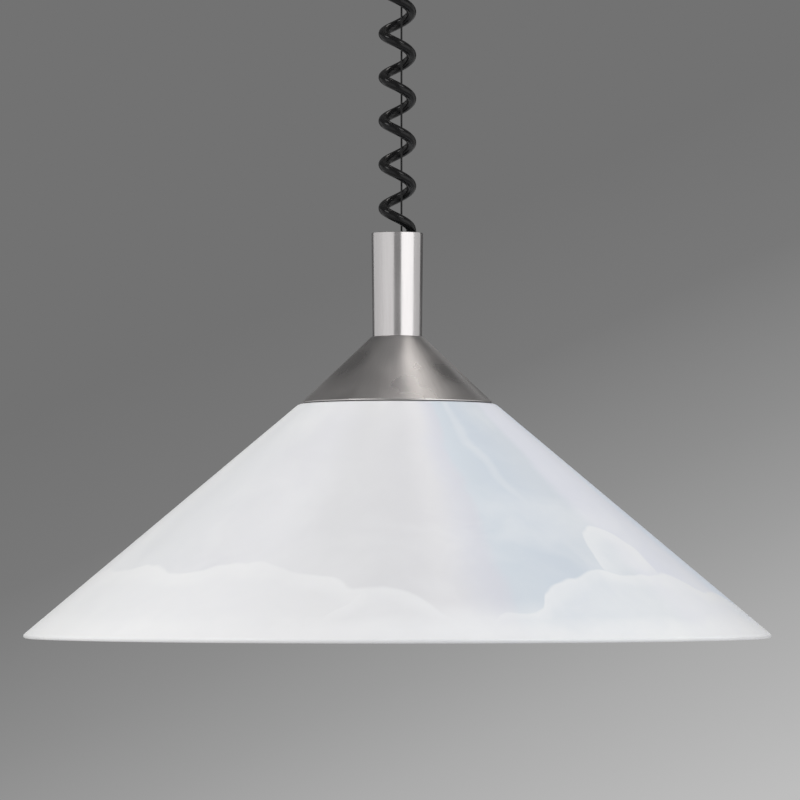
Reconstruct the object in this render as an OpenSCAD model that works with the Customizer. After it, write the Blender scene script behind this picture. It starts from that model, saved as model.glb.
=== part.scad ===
// Rise and fall pendant: a glass cone shade on a spring-balanced suspension wire, with a curly supply cord.
// The origin is the middle of the ceiling bracket's top face, and everything hangs down from it along -Z.

/* [Shade] */
// Diameter of the glass over its rim
shade_d = 450; // [360:1:500]
// Height of the glass, flat top to rim
shade_h = 141; // [120:1:180]
// Thickness of the glass
shade_wall = 3; // [2.5:0.5:5]
// Diameter of the flat top, where the middle of the wall turns down
shoulder_d = 118; // [117:1:130]
// Radius of that turn, in the middle of the wall
shoulder_bend = 4; // [3:0.5:6]
// Clearance of the fitting hole round the lampholder's thread
shade_hole_gap = 1.3; // [0.5:0.1:2]

/* [Cone] */
// Diameter of the spun metal cone over its lower edge
cone_d = 115; // [100:1:116]
// Diameter of the cone over its flat top
cone_top_d = 32.4; // [32:0.1:40]
// Height of the cone
cone_h = 40; // [38:1:60]
// Thickness of its sheet
cone_wall = 1; // [0.8:0.1:1.4]
// Height of the turned-down lower edge
cone_edge_h = 0.6; // [0.5:0.1:2]
// Gap between the cone's edge and the glass
cone_gap = 0.6; // [0.1:0.1:0.9]

/* [Handle tube] */
// Diameter of the tube at its open top
tube_d = 31.4; // [31:0.1:34]
// Diameter of the tube at its foot
tube_foot_d = 30; // [29.6:0.1:32]
// Height of the tube
tube_h = 63; // [60:1:90]
// Thickness of the tube's wall and foot
tube_wall = 1.5; // [1.2:0.1:1.6]
// Depth of the entry disc below the tube's mouth
disc_depth = 7; // [6:0.5:9]
// Thickness of the entry disc
disc_t = 3; // [2:0.5:4]
// Radial clearance of the disc in the tube
disc_gap = 0.1; // [0.05:0.05:0.3]
// Thickness of the retaining ring above the disc
snap_ring_t = 1.2; // [1:0.1:1.5]
// Radial width of the retaining ring
snap_ring_w = 2; // [1.6:0.1:2.2]
// Depth of the retaining ring's groove
snap_groove = 0.5; // [0.3:0.1:0.6]

/* [Curly cord] */
// Diameter of the cord
cord_d = 6; // [5:0.1:6.2]
// Diameter of the curls, in the middle of the cord
curl_d = 17; // [16:0.1:17.2]
// Height of one curl
curl_pitch = 26.5; // [14:0.5:30]
// Number of curls
curls = 12; // [6:1:16]
// Height over which a curl starts and ends
curl_ease = 6; // [4:1:10]
// Radial clearance of a cord in a hole
cord_gap = 0.1; // [0.05:0.05:0.2]

/* [Suspension wire] */
// Diameter of the wire
wire_d = 1.2; // [1:0.1:1.3]
// Distance of the wire from the lamp's axis
wire_x = 2.5; // [2:0.1:2.8]
// Radial clearance of the wire in a guide
wire_gap = 0.4; // [0.3:0.1:0.5]
// Diameter of the ferrule on its lower end
ferrule_d = 3; // [2.6:0.1:3.2]
// Length of the ferrules on the wire and the cord
ferrule_l = 6; // [5:0.5:8]
// Thickness of the crimped ring on the cord
crimp_wall = 1.3; // [1:0.1:1.5]

/* [Ceiling rose] */
// Diameter of the rose
rose_d = 124; // [124:1:140]
// Height of the rose
rose_h = 80; // [80:1:100]
// Thickness of its sheet
rose_wall = 1; // [0.8:0.1:1.4]
// Radius round its lower edge
rose_bend = 9; // [5:0.5:12]
// Gap between the rose and the ceiling
rose_gap = 0.5; // [0.3:0.1:1]
// Diameter of the outlet bush's stem
bush_d = 28; // [27.4:0.1:30]
// Diameter of the outlet bush's flange
bush_flange_d = 38; // [36:1:44]
// Thickness of that flange
bush_flange_t = 3; // [2.5:0.5:4]
// Length of the stem above the rose's floor
bush_stem_h = 12; // [11.5:0.1:12.5]
// Width across the flats of the bush's nut
bush_nut_af = 34; // [33:1:38]
// Thickness of that nut
bush_nut_t = 5; // [4:0.5:5.5]
// Diameter of the nylon screw that grips the cord
grip_screw_d = 4; // [3:0.5:4.5]

/* [Ceiling bracket] */
// Gap between the bracket's ears and the rose
ear_gap = 2; // [1.8:0.1:3]
// Width of the bracket
bracket_w = 28; // [26:1:30]
// Thickness of the bracket
bracket_t = 2; // [1.5:0.5:3]
// Width of the ears
ear_w = 12; // [10:1:13]
// Depth of the ears
ear_h = 14; // [12:1:18]
// Distance between the two mounting slots
slot_spacing = 76; // [74:1:78]
// Length of a slot, end to end
slot_l = 20; // [16:1:20]
// Width of a slot
slot_w = 5.2; // [4.2:0.1:6]
// Length of the tab that carries the terminal block
tab_l = 38; // [37:1:40]
// Width of that tab
tab_w = 20; // [18:1:24]
// Diameter of the rose's side screws
rose_screw_d = 4; // [3:0.5:5]
// Radial clearance of a screw in its thread or hole
screw_gap = 0.05; // [0.03:0.01:0.1]

/* [Reel] */
// Diameter of the wound wire, in the middle of the wire
reel_d = 36; // [35:0.5:37]
// Distance of the reel's axis below the ceiling
reel_drop = 38; // [36:1:40]
// Distance from one turn of wire to the next
reel_pitch = 1.8; // [1.7:0.1:1.9]
// Turns of wire on the reel when the lamp is at its middle height
reel_turns = 4.25; // [3.25:1:4.25]
// Diameter of the reel's flange and spring case
reel_flange_d = 44; // [43:0.5:45]
// Thickness of the flange and the walls of the reel
reel_wall = 1.5; // [1.2:0.1:1.8]
// Width of the winding beyond its last turn
reel_side = 1.15; // [1.1:0.05:1.3]
// Width of the winding before the lead
reel_lead_w = 3.4; // [3:0.1:4]
// Inside width of the spring case
spring_case_w = 12; // [10:0.5:14]
// Thickness of the spring case's cover
reel_cover_t = 2; // [1.8:0.1:2.4]
// Diameter of the axle
axle_d = 8; // [7:0.5:8.5]
// Radial clearance of the axle in its bush
axle_gap = 0.05; // [0.02:0.01:0.1]
// Thickness of the bush's wall
reel_bush_wall = 1.95; // [1.5:0.05:2.2]
// Thickness of the frame's sheet
frame_t = 1.5; // [1.2:0.1:2]
// Clearance between the reel and the frame
frame_gap = 0.5; // [0.4:0.1:0.8]
// Turns of the clock spring
spring_turns = 6; // [4:1:7]
// Thickness of the spring's strip
spring_t = 0.5; // [0.3:0.1:0.6]

/* [Lampholder] */
// Diameter of the screw shell's bore
socket_d = 26.6; // [26.4:0.1:26.8]
// Depth of the screw shell's bore
socket_depth = 25; // [22:0.5:27]
// Thickness of the screw shell
shell_t = 1; // [0.8:0.1:1.2]
// Diameter over the lampholder's outer thread
holder_d = 39.4; // [38:0.1:40]
// Diameter of the lampholder's shoulder
holder_shoulder_d = 52; // [50:1:56]
// Thickness of that shoulder
holder_shoulder_t = 2.5; // [2:0.1:3]
// Thickness of the porcelain insert
insert_t = 8.5; // [7:0.5:9]
// Thickness of the gaskets above and below the glass
gasket_t = 1.5; // [1:0.1:2]
// Outer diameter of the gaskets
gasket_d = 54; // [52:1:56]
// Outer diameter of the shade ring
shade_ring_d = 57; // [56:1:60]
// Height of the shade ring
shade_ring_h = 11; // [9:0.5:14]
// Outer diameter of the lampholder's cap
cap_d = 40; // [40:0.1:42]
// Thickness of the cap's sheet
cap_wall = 1.2; // [1:0.1:1.4]
// Diameter of the hollow threaded rod
rod_d = 10; // [9.8:0.1:10]
// Bore of that rod
rod_bore_d = 8; // [6.6:0.1:8.2]
// Radial clearance on the rod
rod_gap = 0.05; // [0.03:0.01:0.1]
// Width across the flats of the rod's nuts
rod_nut_af = 14; // [13:1:15]
// Thickness of the rod's nuts
rod_nut_t = 3; // [2.5:0.5:4]
// Thickness of the washers under them
washer_t = 1; // [0.6:0.1:1.2]
// Diameter of a core in its insulation
core_d = 2.2; // [1.8:0.1:2.2]

/* [Hidden] */
$fn = 96;
cut = 0.5;          // how far a cutting shape runs past what it cuts
fit = 0.02;         // radial clearance of pieces that are pressed or screwed together
nickel = "#b8b5b2";
zinc = "#9a9da1";
steel = "#84878b";
brass = "#c8a85c";
black_plastic = "#1d1d1f";
white_plastic = "#e9e7e1";
porcelain = "#f3f1ea";
rubber = "#d9d7d0";
opal = "#e2e4e7";
brown = "#6b4226";
blue = "#2f66b0";
green = "#6da63c";

// Ceiling unit, from the ceiling down
outlet_z = -rose_h - bush_flange_t;
cord_x = curl_d / 2;
strap_z = -bracket_t;
rose_in_r = rose_d / 2 - rose_wall;
bracket_l = rose_d - 2 * (rose_wall + ear_gap);
reel_x = wire_x - reel_d / 2;
reel_z = -reel_drop;
bush_top_z = -rose_h + rose_wall + bush_stem_h;

// Reel, along its axis: y runs from the flange to the spring case's cover
wind_end_y = -reel_pitch * reel_turns;
flange_y = wind_end_y - reel_side - reel_wall;
case_y = reel_lead_w;
cavity_y = case_y + reel_wall;
cover_y = cavity_y + spring_case_w;
drum_end_y = cover_y + reel_cover_t;
cheek_a_y = flange_y - frame_gap - frame_t;
cheek_b_y = drum_end_y + frame_gap;
wind_gap = 0.2;      // keeps the drum off the wound wire's flats
drum_r = (reel_d - wire_d) / 2 - wind_gap;
axle_r = axle_d / 2;
drum_bush_r = axle_r + axle_gap + reel_bush_wall;
flange_r = reel_flange_d / 2;
lug_r = 2.5;
lug_at = flange_r + 1.4;
lead_l = 7;
guide_size = [5, 0, 5];
guide_z = bush_top_z + 1;

// Curly cord and lamp, from the outlet down
coil_h = curls * curl_pitch + curl_ease;
coil_top_z = outlet_z - cord_d;
coil_end_z = coil_top_z - coil_h;
entry_z = coil_end_z - cord_d;
tube_top_z = entry_z + disc_depth;
tube_foot_z = tube_top_z - tube_h;
disc_r = tube_bore(disc_depth) - disc_gap;
cone_top_z = tube_foot_z;
cone_foot_z = cone_top_z - cone_h;
glass_z = cone_foot_z - cone_gap;
seat_z = glass_z + gasket_t;
shoulder_z = seat_z + holder_shoulder_t;
cap_top_z = cone_top_z - cone_wall - washer_t - rod_nut_t - 2;
insert_z = shoulder_z - insert_t;
socket_z = insert_z - shell_t - socket_depth;
holder_foot_z = socket_z - 3;
holder_r = holder_d / 2;
holder_bore_r = socket_d / 2 + shell_t + 0.9;
shade_hole_r = holder_r + shade_hole_gap;
ring_top_z = glass_z - shade_wall - gasket_t;
rod_top_z = tube_foot_z + tube_wall + washer_t + rod_nut_t + 2;
collar_h = 5;
rod_foot_z = cap_top_z - collar_h - 1.5;
sheath_end_z = rod_foot_z - 1;

// Half width of the tube's bore at a depth below its mouth
function tube_bore(depth) = tube_d / 2 - tube_wall - (tube_d - tube_foot_d) / 2 * depth / tube_h;

// ---------- shared shapes ----------

function unit(v) = v / norm(v);

// Direction of a path at point i
function along(path, i) =
    unit(path[min(i + 1, len(path) - 1)] - path[max(i - 1, 0)]);

// One unbroken tube through rings at the path's points; sideways[i] is square to the path there
module tube_through(path, sideways, r, sides) {
    rings = len(path);
    corners = [
        for (i = [0 : rings - 1])
            let (a = sideways[i], b = cross(along(path, i), a))
            for (k = [0 : sides - 1])
                path[i] + r * (cos(360 * k / sides) * a + sin(360 * k / sides) * b)
    ];
    walls = [
        for (i = [0 : rings - 2], k = [0 : sides - 1])
            let (here = i * sides + k, next = i * sides + (k + 1) % sides)
            each [[here, here + sides, next + sides], [here, next + sides, next]]
    ];
    start = [for (k = [1 : sides - 2]) [0, k, k + 1]];
    last = (rings - 1) * sides;
    finish = [for (k = [1 : sides - 2]) [last, last + k + 1, last + k]];
    polyhedron(points = corners, faces = concat(walls, start, finish));
}

// A lead that follows a hand-laid route; flat is a direction that the route never takes
module lead(route, d, flat, sides = 8) {
    sideways = [for (i = [0 : len(route) - 1]) unit(cross(along(route, i), flat))];
    tube_through(route, sideways, d / 2, sides);
}

// Least distance between two stretches of a path that lie more than half a loop apart
function least_gap(path, d, per_loop) = min([
    for (i = [0 : len(path) - 1], j = [i + ceil(per_loop / 2) + 1 : 1 : len(path) - 1])
        norm(path[i] - path[j])
]) - d;

// A washer or sleeve between two heights
module sleeve(low, high, outer_r, inner_r, x = 0) {
    translate([x, 0, low])
        difference() {
            cylinder(h = high - low, r = outer_r);
            translate([0, 0, -cut]) cylinder(h = high - low + 2 * cut, r = inner_r);
        }
}

// A hexagonal nut between two heights
module hex_nut(low, high, across_flats, inner_r) {
    translate([0, 0, low])
        difference() {
            cylinder(h = high - low, d = across_flats / cos(30), $fn = 6);
            translate([0, 0, -cut]) cylinder(h = high - low + 2 * cut, r = inner_r);
        }
}

// A slotted screw: its head stands on z = 0 and its shank points down
module slotted_screw(shank_d, shank_l, head_d, head_h) {
    slot = head_d / 6;
    difference() {
        union() {
            cylinder(h = head_h, d = head_d, $fn = 48);
            translate([0, 0, -shank_l]) cylinder(h = shank_l + head_h / 2, d = shank_d, $fn = 48);
        }
        translate([-head_d, -slot / 2, head_h * 0.55]) cube([2 * head_d, slot, head_h]);
    }
}

// Places things on the reel's axis: their z runs along +Y
module on_reel() {
    translate([reel_x, 0, reel_z]) rotate([-90, 0, 0]) children();
}

// ---------- ceiling unit ----------

frame_screw_at = [[-6, -4], [-6, 12]];
frame_screw_d = 4;
frame_head_h = 2.2;
block_l = 30;
block_w = 16;
block_h = 13;
block_x = bracket_w / 2 + 6;
way_pitch = 10;
way_x = [for (n = [0 : 2]) block_x + way_pitch / 2 + n * way_pitch];
way_z = strap_z - block_h / 2;
insert_r = 3;
insert_bore_r = core_d / 2 + 0.7;
block_screw_d = 3;
block_screw_x = (way_x[0] + way_x[1]) / 2;
clamp_screw_d = 3;
clamp_head_d = 4.6;
clamp_head_h = 2;
earth_at = [9, 26];
earth_tag_t = 0.8;
earth_screw_d = 3.5;
rose_screw_z = -8;
pin_gap = 0.3;

module mounting_slot(y) {
    reach = (slot_l - slot_w) / 2;
    for (side = [-1, 1])
        translate([0, y + side * reach, strap_z - cut]) cylinder(h = bracket_t + 2 * cut, d = slot_w);
    translate([-slot_w / 2, y - reach, strap_z - cut]) cube([slot_w, 2 * reach, bracket_t + 2 * cut]);
}

module tapped(x, y, d) {
    translate([x, y, strap_z - cut]) cylinder(h = bracket_t + 2 * cut, r = d / 2 + screw_gap, $fn = 48);
}

module ceiling_bracket() color(zinc)
    difference() {
        union() {
            translate([-bracket_w / 2, -bracket_l / 2, strap_z]) cube([bracket_w, bracket_l, bracket_t]);
            translate([0, -tab_w / 2, strap_z]) cube([bracket_w / 2 + tab_l, tab_w, bracket_t]);
            for (side = [-1, 1])
                translate([-ear_w / 2, side * (bracket_l - bracket_t) / 2 - bracket_t / 2, -ear_h])
                    cube([ear_w, bracket_t, ear_h]);
        }
        for (side = [-1, 1]) {
            mounting_slot(side * slot_spacing / 2);
            translate([0, side * bracket_l / 2, rose_screw_z])
                rotate([90, 0, 0])
                    cylinder(h = 4 * bracket_t, r = rose_screw_d / 2 + screw_gap, center = true, $fn = 48);
        }
        for (p = frame_screw_at) tapped(p[0], p[1], frame_screw_d);
        tapped(block_screw_x, 0, block_screw_d);
        tapped(earth_at[0], earth_at[1], earth_screw_d);
    }

// The rose is one pressed cup, round at its lower edge
module rose_cover() color(nickel)
    difference() {
        rotate_extrude() {
            inner_bend = rose_bend - rose_wall;
            turn = [for (a = [0 : 10 : 90]) [sin(a), cos(a)]];
            bend_x = rose_d / 2 - rose_bend;
            bend_z = -rose_h + rose_bend;
            hole_r = bush_d / 2 + screw_gap;
            polygon(concat(
                [[hole_r, -rose_h]],
                [for (t = turn) [bend_x + rose_bend * t[0], bend_z - rose_bend * t[1]]],
                [[rose_d / 2, -rose_gap], [rose_in_r, -rose_gap]],
                [
                    for (i = [len(turn) - 1 : -1 : 0])
                        [bend_x + inner_bend * turn[i][0], bend_z - inner_bend * turn[i][1]]
                ],
                [[hole_r, -rose_h + rose_wall]]
            ));
        }
        translate([0, 0, rose_screw_z])
            rotate([90, 0, 0]) cylinder(h = 2 * rose_d, r = rose_screw_d / 2 + pin_gap, center = true, $fn = 48);
    }

module rose_screws() color(nickel)
    for (side = [0, 180])
        rotate([0, 0, side])
            translate([0, rose_d / 2, rose_screw_z])
                rotate([-90, 0, 0])
                    slotted_screw(rose_screw_d, rose_d / 2 - bracket_l / 2 + bracket_t + 2, 2 * rose_screw_d, 2.4);

// The bush carries two ways: a plain one for the cord, and a flared one for the wire
module outlet_bush() color(black_plastic)
    difference() {
        union() {
            translate([0, 0, outlet_z])
                rotate_extrude()
                    polygon(concat(
                        [[0, 0]],
                        [for (a = [0 : 15 : 90]) [bush_flange_d / 2 - 2 + 2 * sin(a), 2 - 2 * cos(a)]],
                        [[bush_flange_d / 2, bush_flange_t], [0, bush_flange_t]]
                    ));
            translate([0, 0, -rose_h]) cylinder(h = bush_top_z + rose_h, d = bush_d);
        }
        translate([cord_x, 0, outlet_z - cut])
            cylinder(h = bush_top_z - outlet_z + 2 * cut, r = cord_d / 2 + cord_gap, $fn = 64);
        translate([wire_x, 0, outlet_z - cut])
            cylinder(h = bush_top_z - outlet_z + 2 * cut, r = wire_d / 2 + wire_gap, $fn = 48);
        translate([wire_x, 0, outlet_z])
            rotate_extrude($fn = 48)
                polygon(concat(
                    [[0, -cut], [2.3, -cut]],
                    [for (a = [0 : 18 : 90]) [2.3 - 1.3 * sin(a), 2.6 * (1 - cos(a))]],
                    [[0, 2.6]]
                ));
        translate([cord_x + cord_d / 2, 0, grip_z])
            rotate([0, 90, 0]) cylinder(h = bush_d, r = grip_screw_d / 2 + screw_gap, $fn = 48);
    }

grip_z = (bush_top_z + (-rose_h + rose_wall + bush_nut_t)) / 2;

module bush_nut() color(black_plastic)
    hex_nut(-rose_h + rose_wall, -rose_h + rose_wall + bush_nut_t, bush_nut_af, bush_d / 2 + screw_gap);

module grip_screw() color(white_plastic)
    translate([bush_d / 2 + 1, 0, grip_z])
        rotate([0, 90, 0])
            slotted_screw(grip_screw_d, bush_d / 2 + 1 - cord_x - cord_d / 2 - cord_gap, grip_screw_d + 2, 2.2);

// Routes inside the rose, laid by hand
tail_end = [35.5, -17, -20];
upper_tail_route = [
    [cord_x, 0, outlet_z], [cord_x, 0, -75], [cord_x, 0, bush_top_z], [9.6, -0.6, -60],
    [13, -2.2, -53], [19, -5, -46.5], [26, -9, -40.5], [31.5, -12.8, -34], [34.6, -15.8, -27.5],
    tail_end - [0, 0, 2.5], tail_end
];
core_spread = 1.35;
core_gap = 0.3;

function core_start(n) = [core_spread * cos(90 + 120 * n), core_spread * sin(90 + 120 * n)];

// Way w of the block takes the core that starts at place n in the sheath
function upper_core(w, n) = [
    tail_end + [core_start(n)[0], core_start(n)[1], core_gap],
    tail_end + [core_start(n)[0], core_start(n)[1], core_gap + 1.2],
    [(tail_end[0] + 2 * way_x[w]) / 3, tail_end[1] + 0.8, (tail_end[2] + way_z) / 2 + 1],
    [way_x[w], -14, way_z - 1],
    [way_x[w], -10.5, way_z],
    [way_x[w], -block_w / 2, way_z],
    [way_x[w], -2, way_z]
];

module cord_tail_upper() color(black_plastic) lead(upper_tail_route, cord_d, [0, 1, 0]);

module brown_core_upper() color(brown) lead(upper_core(0, 1), core_d, [1, 0, 0]);

module earth_core_upper() color(green) lead(upper_core(1, 0), core_d, [1, 0, 0]);

module blue_core_upper() color(blue) lead(upper_core(2, 2), core_d, [1, 0, 0]);

module terminal_block() color(white_plastic)
    difference() {
        translate([block_x, -block_w / 2, strap_z - block_h]) cube([block_l, block_w, block_h]);
        for (x = way_x) {
            translate([x, 0, way_z])
                rotate([90, 0, 0]) cylinder(h = block_w + 2 * cut, r = insert_r + fit, center = true, $fn = 48);
            for (side = [-1, 1])
                translate([x, side * block_w / 4, strap_z - block_h - cut])
                    cylinder(h = block_h / 2 + cut, d = clamp_head_d + 0.6, $fn = 48);
        }
        for (n = [0, 1])
            translate([(way_x[n] + way_x[n + 1]) / 2, 0, strap_z - block_h - cut])
                cylinder(h = block_h + 2 * cut, r = block_screw_d / 2 + screw_gap, $fn = 48);
    }

module terminal_inserts() color(brass)
    for (x = way_x)
        difference() {
            translate([x, 0, way_z])
                rotate([90, 0, 0]) cylinder(h = block_w, r = insert_r, center = true, $fn = 48);
            translate([x, 0, way_z])
                rotate([90, 0, 0])
                    cylinder(h = block_w + 2 * cut, r = insert_bore_r, center = true, $fn = 48);
            for (side = [-1, 1])
                translate([x, side * block_w / 4, way_z - 2 * insert_r])
                    cylinder(h = 2 * insert_r, r = clamp_screw_d / 2 + screw_gap, $fn = 48);
        }

module terminal_screws() color(steel)
    for (x = way_x, side = [-1, 1])
        translate([x, side * block_w / 4, way_z - insert_r - 0.4])
            rotate([180, 0, 0])
                slotted_screw(clamp_screw_d, insert_r + 0.4 - core_d / 2 - 0.05, clamp_head_d, clamp_head_h);

module block_screw() color(steel)
    translate([block_screw_x, 0, strap_z - block_h])
        rotate([180, 0, 0])
            slotted_screw(block_screw_d, block_h + bracket_t - 0.4, 2 * block_screw_d - 0.6, 1.8);

module earth_screw() color(brass)
    translate([earth_at[0], earth_at[1], strap_z - earth_tag_t])
        rotate([180, 0, 0]) slotted_screw(earth_screw_d, earth_tag_t + bracket_t - 0.4, 6.6, 2);

// Ring tag, with a barrel crimped on the link
module earth_tag() color(brass)
    difference() {
        union() {
            translate([earth_at[0], earth_at[1], strap_z - earth_tag_t])
                cylinder(h = earth_tag_t, d = 7.4, $fn = 48);
            translate([earth_at[0], earth_at[1] - 1.6, strap_z - earth_tag_t])
                cube([5.6, 3.2, earth_tag_t]);
            translate([earth_at[0] + 4.4, earth_at[1], strap_z - 1.8])
                rotate([0, 90, 0]) cylinder(h = 5, d = 3.4, $fn = 48);
        }
        translate([earth_at[0], earth_at[1], strap_z - 3])
            cylinder(h = 3 + cut, r = earth_screw_d / 2 + screw_gap, $fn = 48);
        translate([earth_at[0] + 5.4, earth_at[1], strap_z - 1.8])
            rotate([0, 90, 0]) cylinder(h = 6, r = core_d / 2 + 0.05, $fn = 48);
        translate([earth_at[0], earth_at[1] - 5, strap_z]) cube([12, 10, 3]);
    }

earth_link_route = [
    [way_x[1], 2, way_z], [way_x[1], 8, way_z], [way_x[1] - 0.5, 12, way_z - 0.3],
    [way_x[1] - 3, 17, way_z - 0.5], [way_x[1] - 7.5, 21.5, way_z], [way_x[1] - 12.5, 24.5, strap_z - 4.4],
    [earth_at[0] + 11.5, earth_at[1], strap_z - 2.2], [earth_at[0] + 9, earth_at[1], strap_z - 1.8],
    [earth_at[0] + 5.6, earth_at[1], strap_z - 1.8]
];

module earth_link() color(green) lead(earth_link_route, core_d, [0, 0, 1]);

// ---------- reel ----------

// Outline of a cheek, seen along the reel's axis: x as in the lamp, and y up
module cheek_outline() {
    arm_w = 10;
    top = strap_z - reel_z;
    square_w = 36;
    translate([-square_w / 2, 0]) square([wire_x + arm_w / 2 + 3 - reel_x + square_w / 2, top]);
    circle(r = square_w / 2);
    translate([wire_x - arm_w / 2 - reel_x, bush_top_z + 0.4 - reel_z])
        square([arm_w, reel_z - bush_top_z - 0.4]);
}

module cheek(y) {
    difference() {
        translate([reel_x, y + frame_t, reel_z])
            rotate([90, 0, 0]) linear_extrude(frame_t) cheek_outline();
        on_reel() translate([0, 0, y - cut]) cylinder(h = frame_t + 2 * cut, r = axle_r + fit);
        translate([wire_x, y - cut, guide_z + guide_size[2] / 2])
            rotate([-90, 0, 0]) cylinder(h = frame_t + 2 * cut, r = guide_pin_r + screw_gap, $fn = 48);
    }
}

guide_pin_r = 1.5;

// One bent channel: two cheeks and the web that is screwed to the bracket
module reel_frame() color(steel)
    difference() {
        union() {
            cheek(cheek_a_y);
            cheek(cheek_b_y);
            translate([reel_x - 18, cheek_a_y, strap_z - frame_t])
                cube([wire_x + 8 - reel_x + 18, cheek_b_y + frame_t - cheek_a_y, frame_t]);
        }
        for (p = frame_screw_at)
            translate([p[0], p[1], strap_z - frame_t - cut])
                cylinder(h = frame_t + 2 * cut, r = frame_screw_d / 2 + screw_gap, $fn = 48);
    }

module frame_screws() color(steel)
    for (p = frame_screw_at)
        translate([p[0], p[1], strap_z - frame_t])
            rotate([180, 0, 0])
                slotted_screw(frame_screw_d, frame_t + bracket_t - 0.4, 2 * frame_screw_d - 1, frame_head_h);

axle_head_t = 2;
axle_groove_d = 6.5;
clip_t = 0.8;
clip_y = cheek_b_y + frame_t + 0.2;
axle_end_y = clip_y + clip_t + 1.2;
spring_slot = spring_t + 0.2;

module reel_axle() color(steel)
    on_reel()
        difference() {
            union() {
                translate([0, 0, cheek_a_y - axle_head_t]) cylinder(h = axle_head_t, d = axle_d + 4);
                translate([0, 0, cheek_a_y - 0.5]) cylinder(h = axle_end_y - cheek_a_y + 0.5, r = axle_r);
            }
            translate([0, 0, clip_y])
                difference() {
                    cylinder(h = clip_t + 0.05, r = axle_r + cut);
                    translate([0, 0, -cut]) cylinder(h = clip_t + 2 * cut, d = axle_groove_d);
                }
            translate([0, -spring_slot / 2, cavity_y]) cube([axle_d, spring_slot, spring_case_w]);
        }

// Snap ring on the axle's free end, open on one side
module axle_clip() color(zinc)
    on_reel()
        translate([0, 0, clip_y])
            difference() {
                cylinder(h = clip_t, d = axle_groove_d + 6.5);
                translate([0, 0, -cut]) cylinder(h = clip_t + 2 * cut, d = axle_groove_d + 0.1);
                translate([0, -axle_groove_d * 0.4, -cut]) cube([axle_d * 2, axle_groove_d * 0.8, clip_t + 2 * cut]);
            }

spring_in_r = axle_r + 1;
spring_out_r = flange_r - reel_wall - 0.9 - spring_t;
spring_grow = (spring_out_r - spring_in_r) / (360 * spring_turns);
spring_angles = [for (a = [0 : 15 : 360 * spring_turns]) a];

// A spiral strip, hooked into the slot of the fixed axle
module clock_spring() color(steel)
    on_reel()
        translate([0, 0, cavity_y + 0.3])
            linear_extrude(spring_case_w - 0.6)
                polygon(concat(
                    [[1, -spring_t / 2]],
                    [for (a = spring_angles) (spring_in_r + spring_t + spring_grow * a) * [cos(a), sin(a)]],
                    [for (n = [len(spring_angles) - 1 : -1 : 1])
                        (spring_in_r + spring_grow * spring_angles[n]) * [cos(spring_angles[n]), sin(spring_angles[n])]],
                    [[spring_in_r, spring_t / 2], [1, spring_t / 2]]
                ));

// Cross bar that keeps the wire over the outlet, held by a pin at each end
module wire_guide() color(white_plastic)
    difference() {
        union() {
            translate([wire_x - guide_size[0] / 2, cheek_a_y + frame_t, guide_z])
                cube([guide_size[0], cheek_b_y - cheek_a_y - frame_t, guide_size[2]]);
            translate([wire_x, cheek_a_y, guide_z + guide_size[2] / 2])
                rotate([-90, 0, 0])
                    cylinder(h = cheek_b_y + frame_t - cheek_a_y, r = guide_pin_r, $fn = 48);
        }
        translate([wire_x, 0, guide_z - cut])
            cylinder(h = guide_size[2] + 2 * cut, r = wire_d / 2 + wire_gap, $fn = 48);
    }

// The straight stretch of wire between the reel and the outlet
module reel_wire_lead() color(black_plastic)
    translate([wire_x, 0, outlet_z]) cylinder(h = reel_z - lead_l - outlet_z, d = wire_d, $fn = 24);

anchor_r = 0.9;
anchor_l = 5;
wire_end_l = 3;

// A moulded reel: grooved winding, ribbed hub, and the spring's case beside it
module wire_drum() color(white_plastic)
    on_reel()
        difference() {
            union() {
                sleeve(flange_y, cavity_y, drum_bush_r + 3, drum_bush_r + fit);
                sleeve(flange_y, case_y, drum_r, drum_r - 2.5);
                sleeve(flange_y, flange_y + reel_wall, flange_r, drum_r - 2.5);
                sleeve(case_y, cavity_y, flange_r, drum_bush_r + fit);
                sleeve(cavity_y, cover_y, flange_r, flange_r - reel_wall);
                for (n = [0 : 5])
                    rotate([0, 0, 60 * n])
                        translate([drum_bush_r + 2.5, -0.6, flange_y])
                            cube([drum_r - drum_bush_r - 4.5, 1.2, case_y - flange_y]);
                for (n = [0 : 2])
                    rotate([0, 0, 120 * n + 60])
                        translate([lug_at, 0, cover_y - 7]) cylinder(h = 7, r = lug_r, $fn = 48);
            }
            for (n = [0 : 2])
                rotate([0, 0, 120 * n + 60])
                    translate([lug_at, 0, cover_y - 6])
                        cylinder(h = 6 + cut, r = 1.2 + screw_gap, $fn = 32);
            translate([-anchor_l - 4, -reel_d / 2 - 3, wind_end_y - anchor_r - 0.04])
                cube([anchor_l + 3, 3 + anchor_r + 0.05, 2 * (anchor_r + 0.04)]);
        }

module drum_bush() color("#d8c9a0")
    on_reel() {
        sleeve(flange_y, cavity_y, drum_bush_r, axle_r + axle_gap);
        sleeve(flange_y - frame_gap + 0.1, flange_y, drum_bush_r + 1.5, axle_r + axle_gap);
    }

module drum_cover() color(white_plastic)
    on_reel()
        difference() {
            union() {
                translate([0, 0, cover_y]) cylinder(h = reel_cover_t, r = flange_r);
                for (n = [0 : 2])
                    rotate([0, 0, 120 * n + 60])
                        translate([lug_at, 0, cover_y]) cylinder(h = reel_cover_t, r = lug_r, $fn = 48);
            }
            translate([0, 0, cover_y - cut]) cylinder(h = reel_cover_t + 2 * cut, r = axle_r + axle_gap);
            for (n = [0 : 2])
                rotate([0, 0, 120 * n + 60])
                    translate([lug_at, 0, cover_y]) {
                        translate([0, 0, -cut]) cylinder(h = 2 * reel_cover_t, r = 1.2 + screw_gap, $fn = 32);
                        translate([0, 0, 0.7]) cylinder(h = reel_cover_t, r = 2.1, $fn = 32);
                    }
        }

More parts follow.
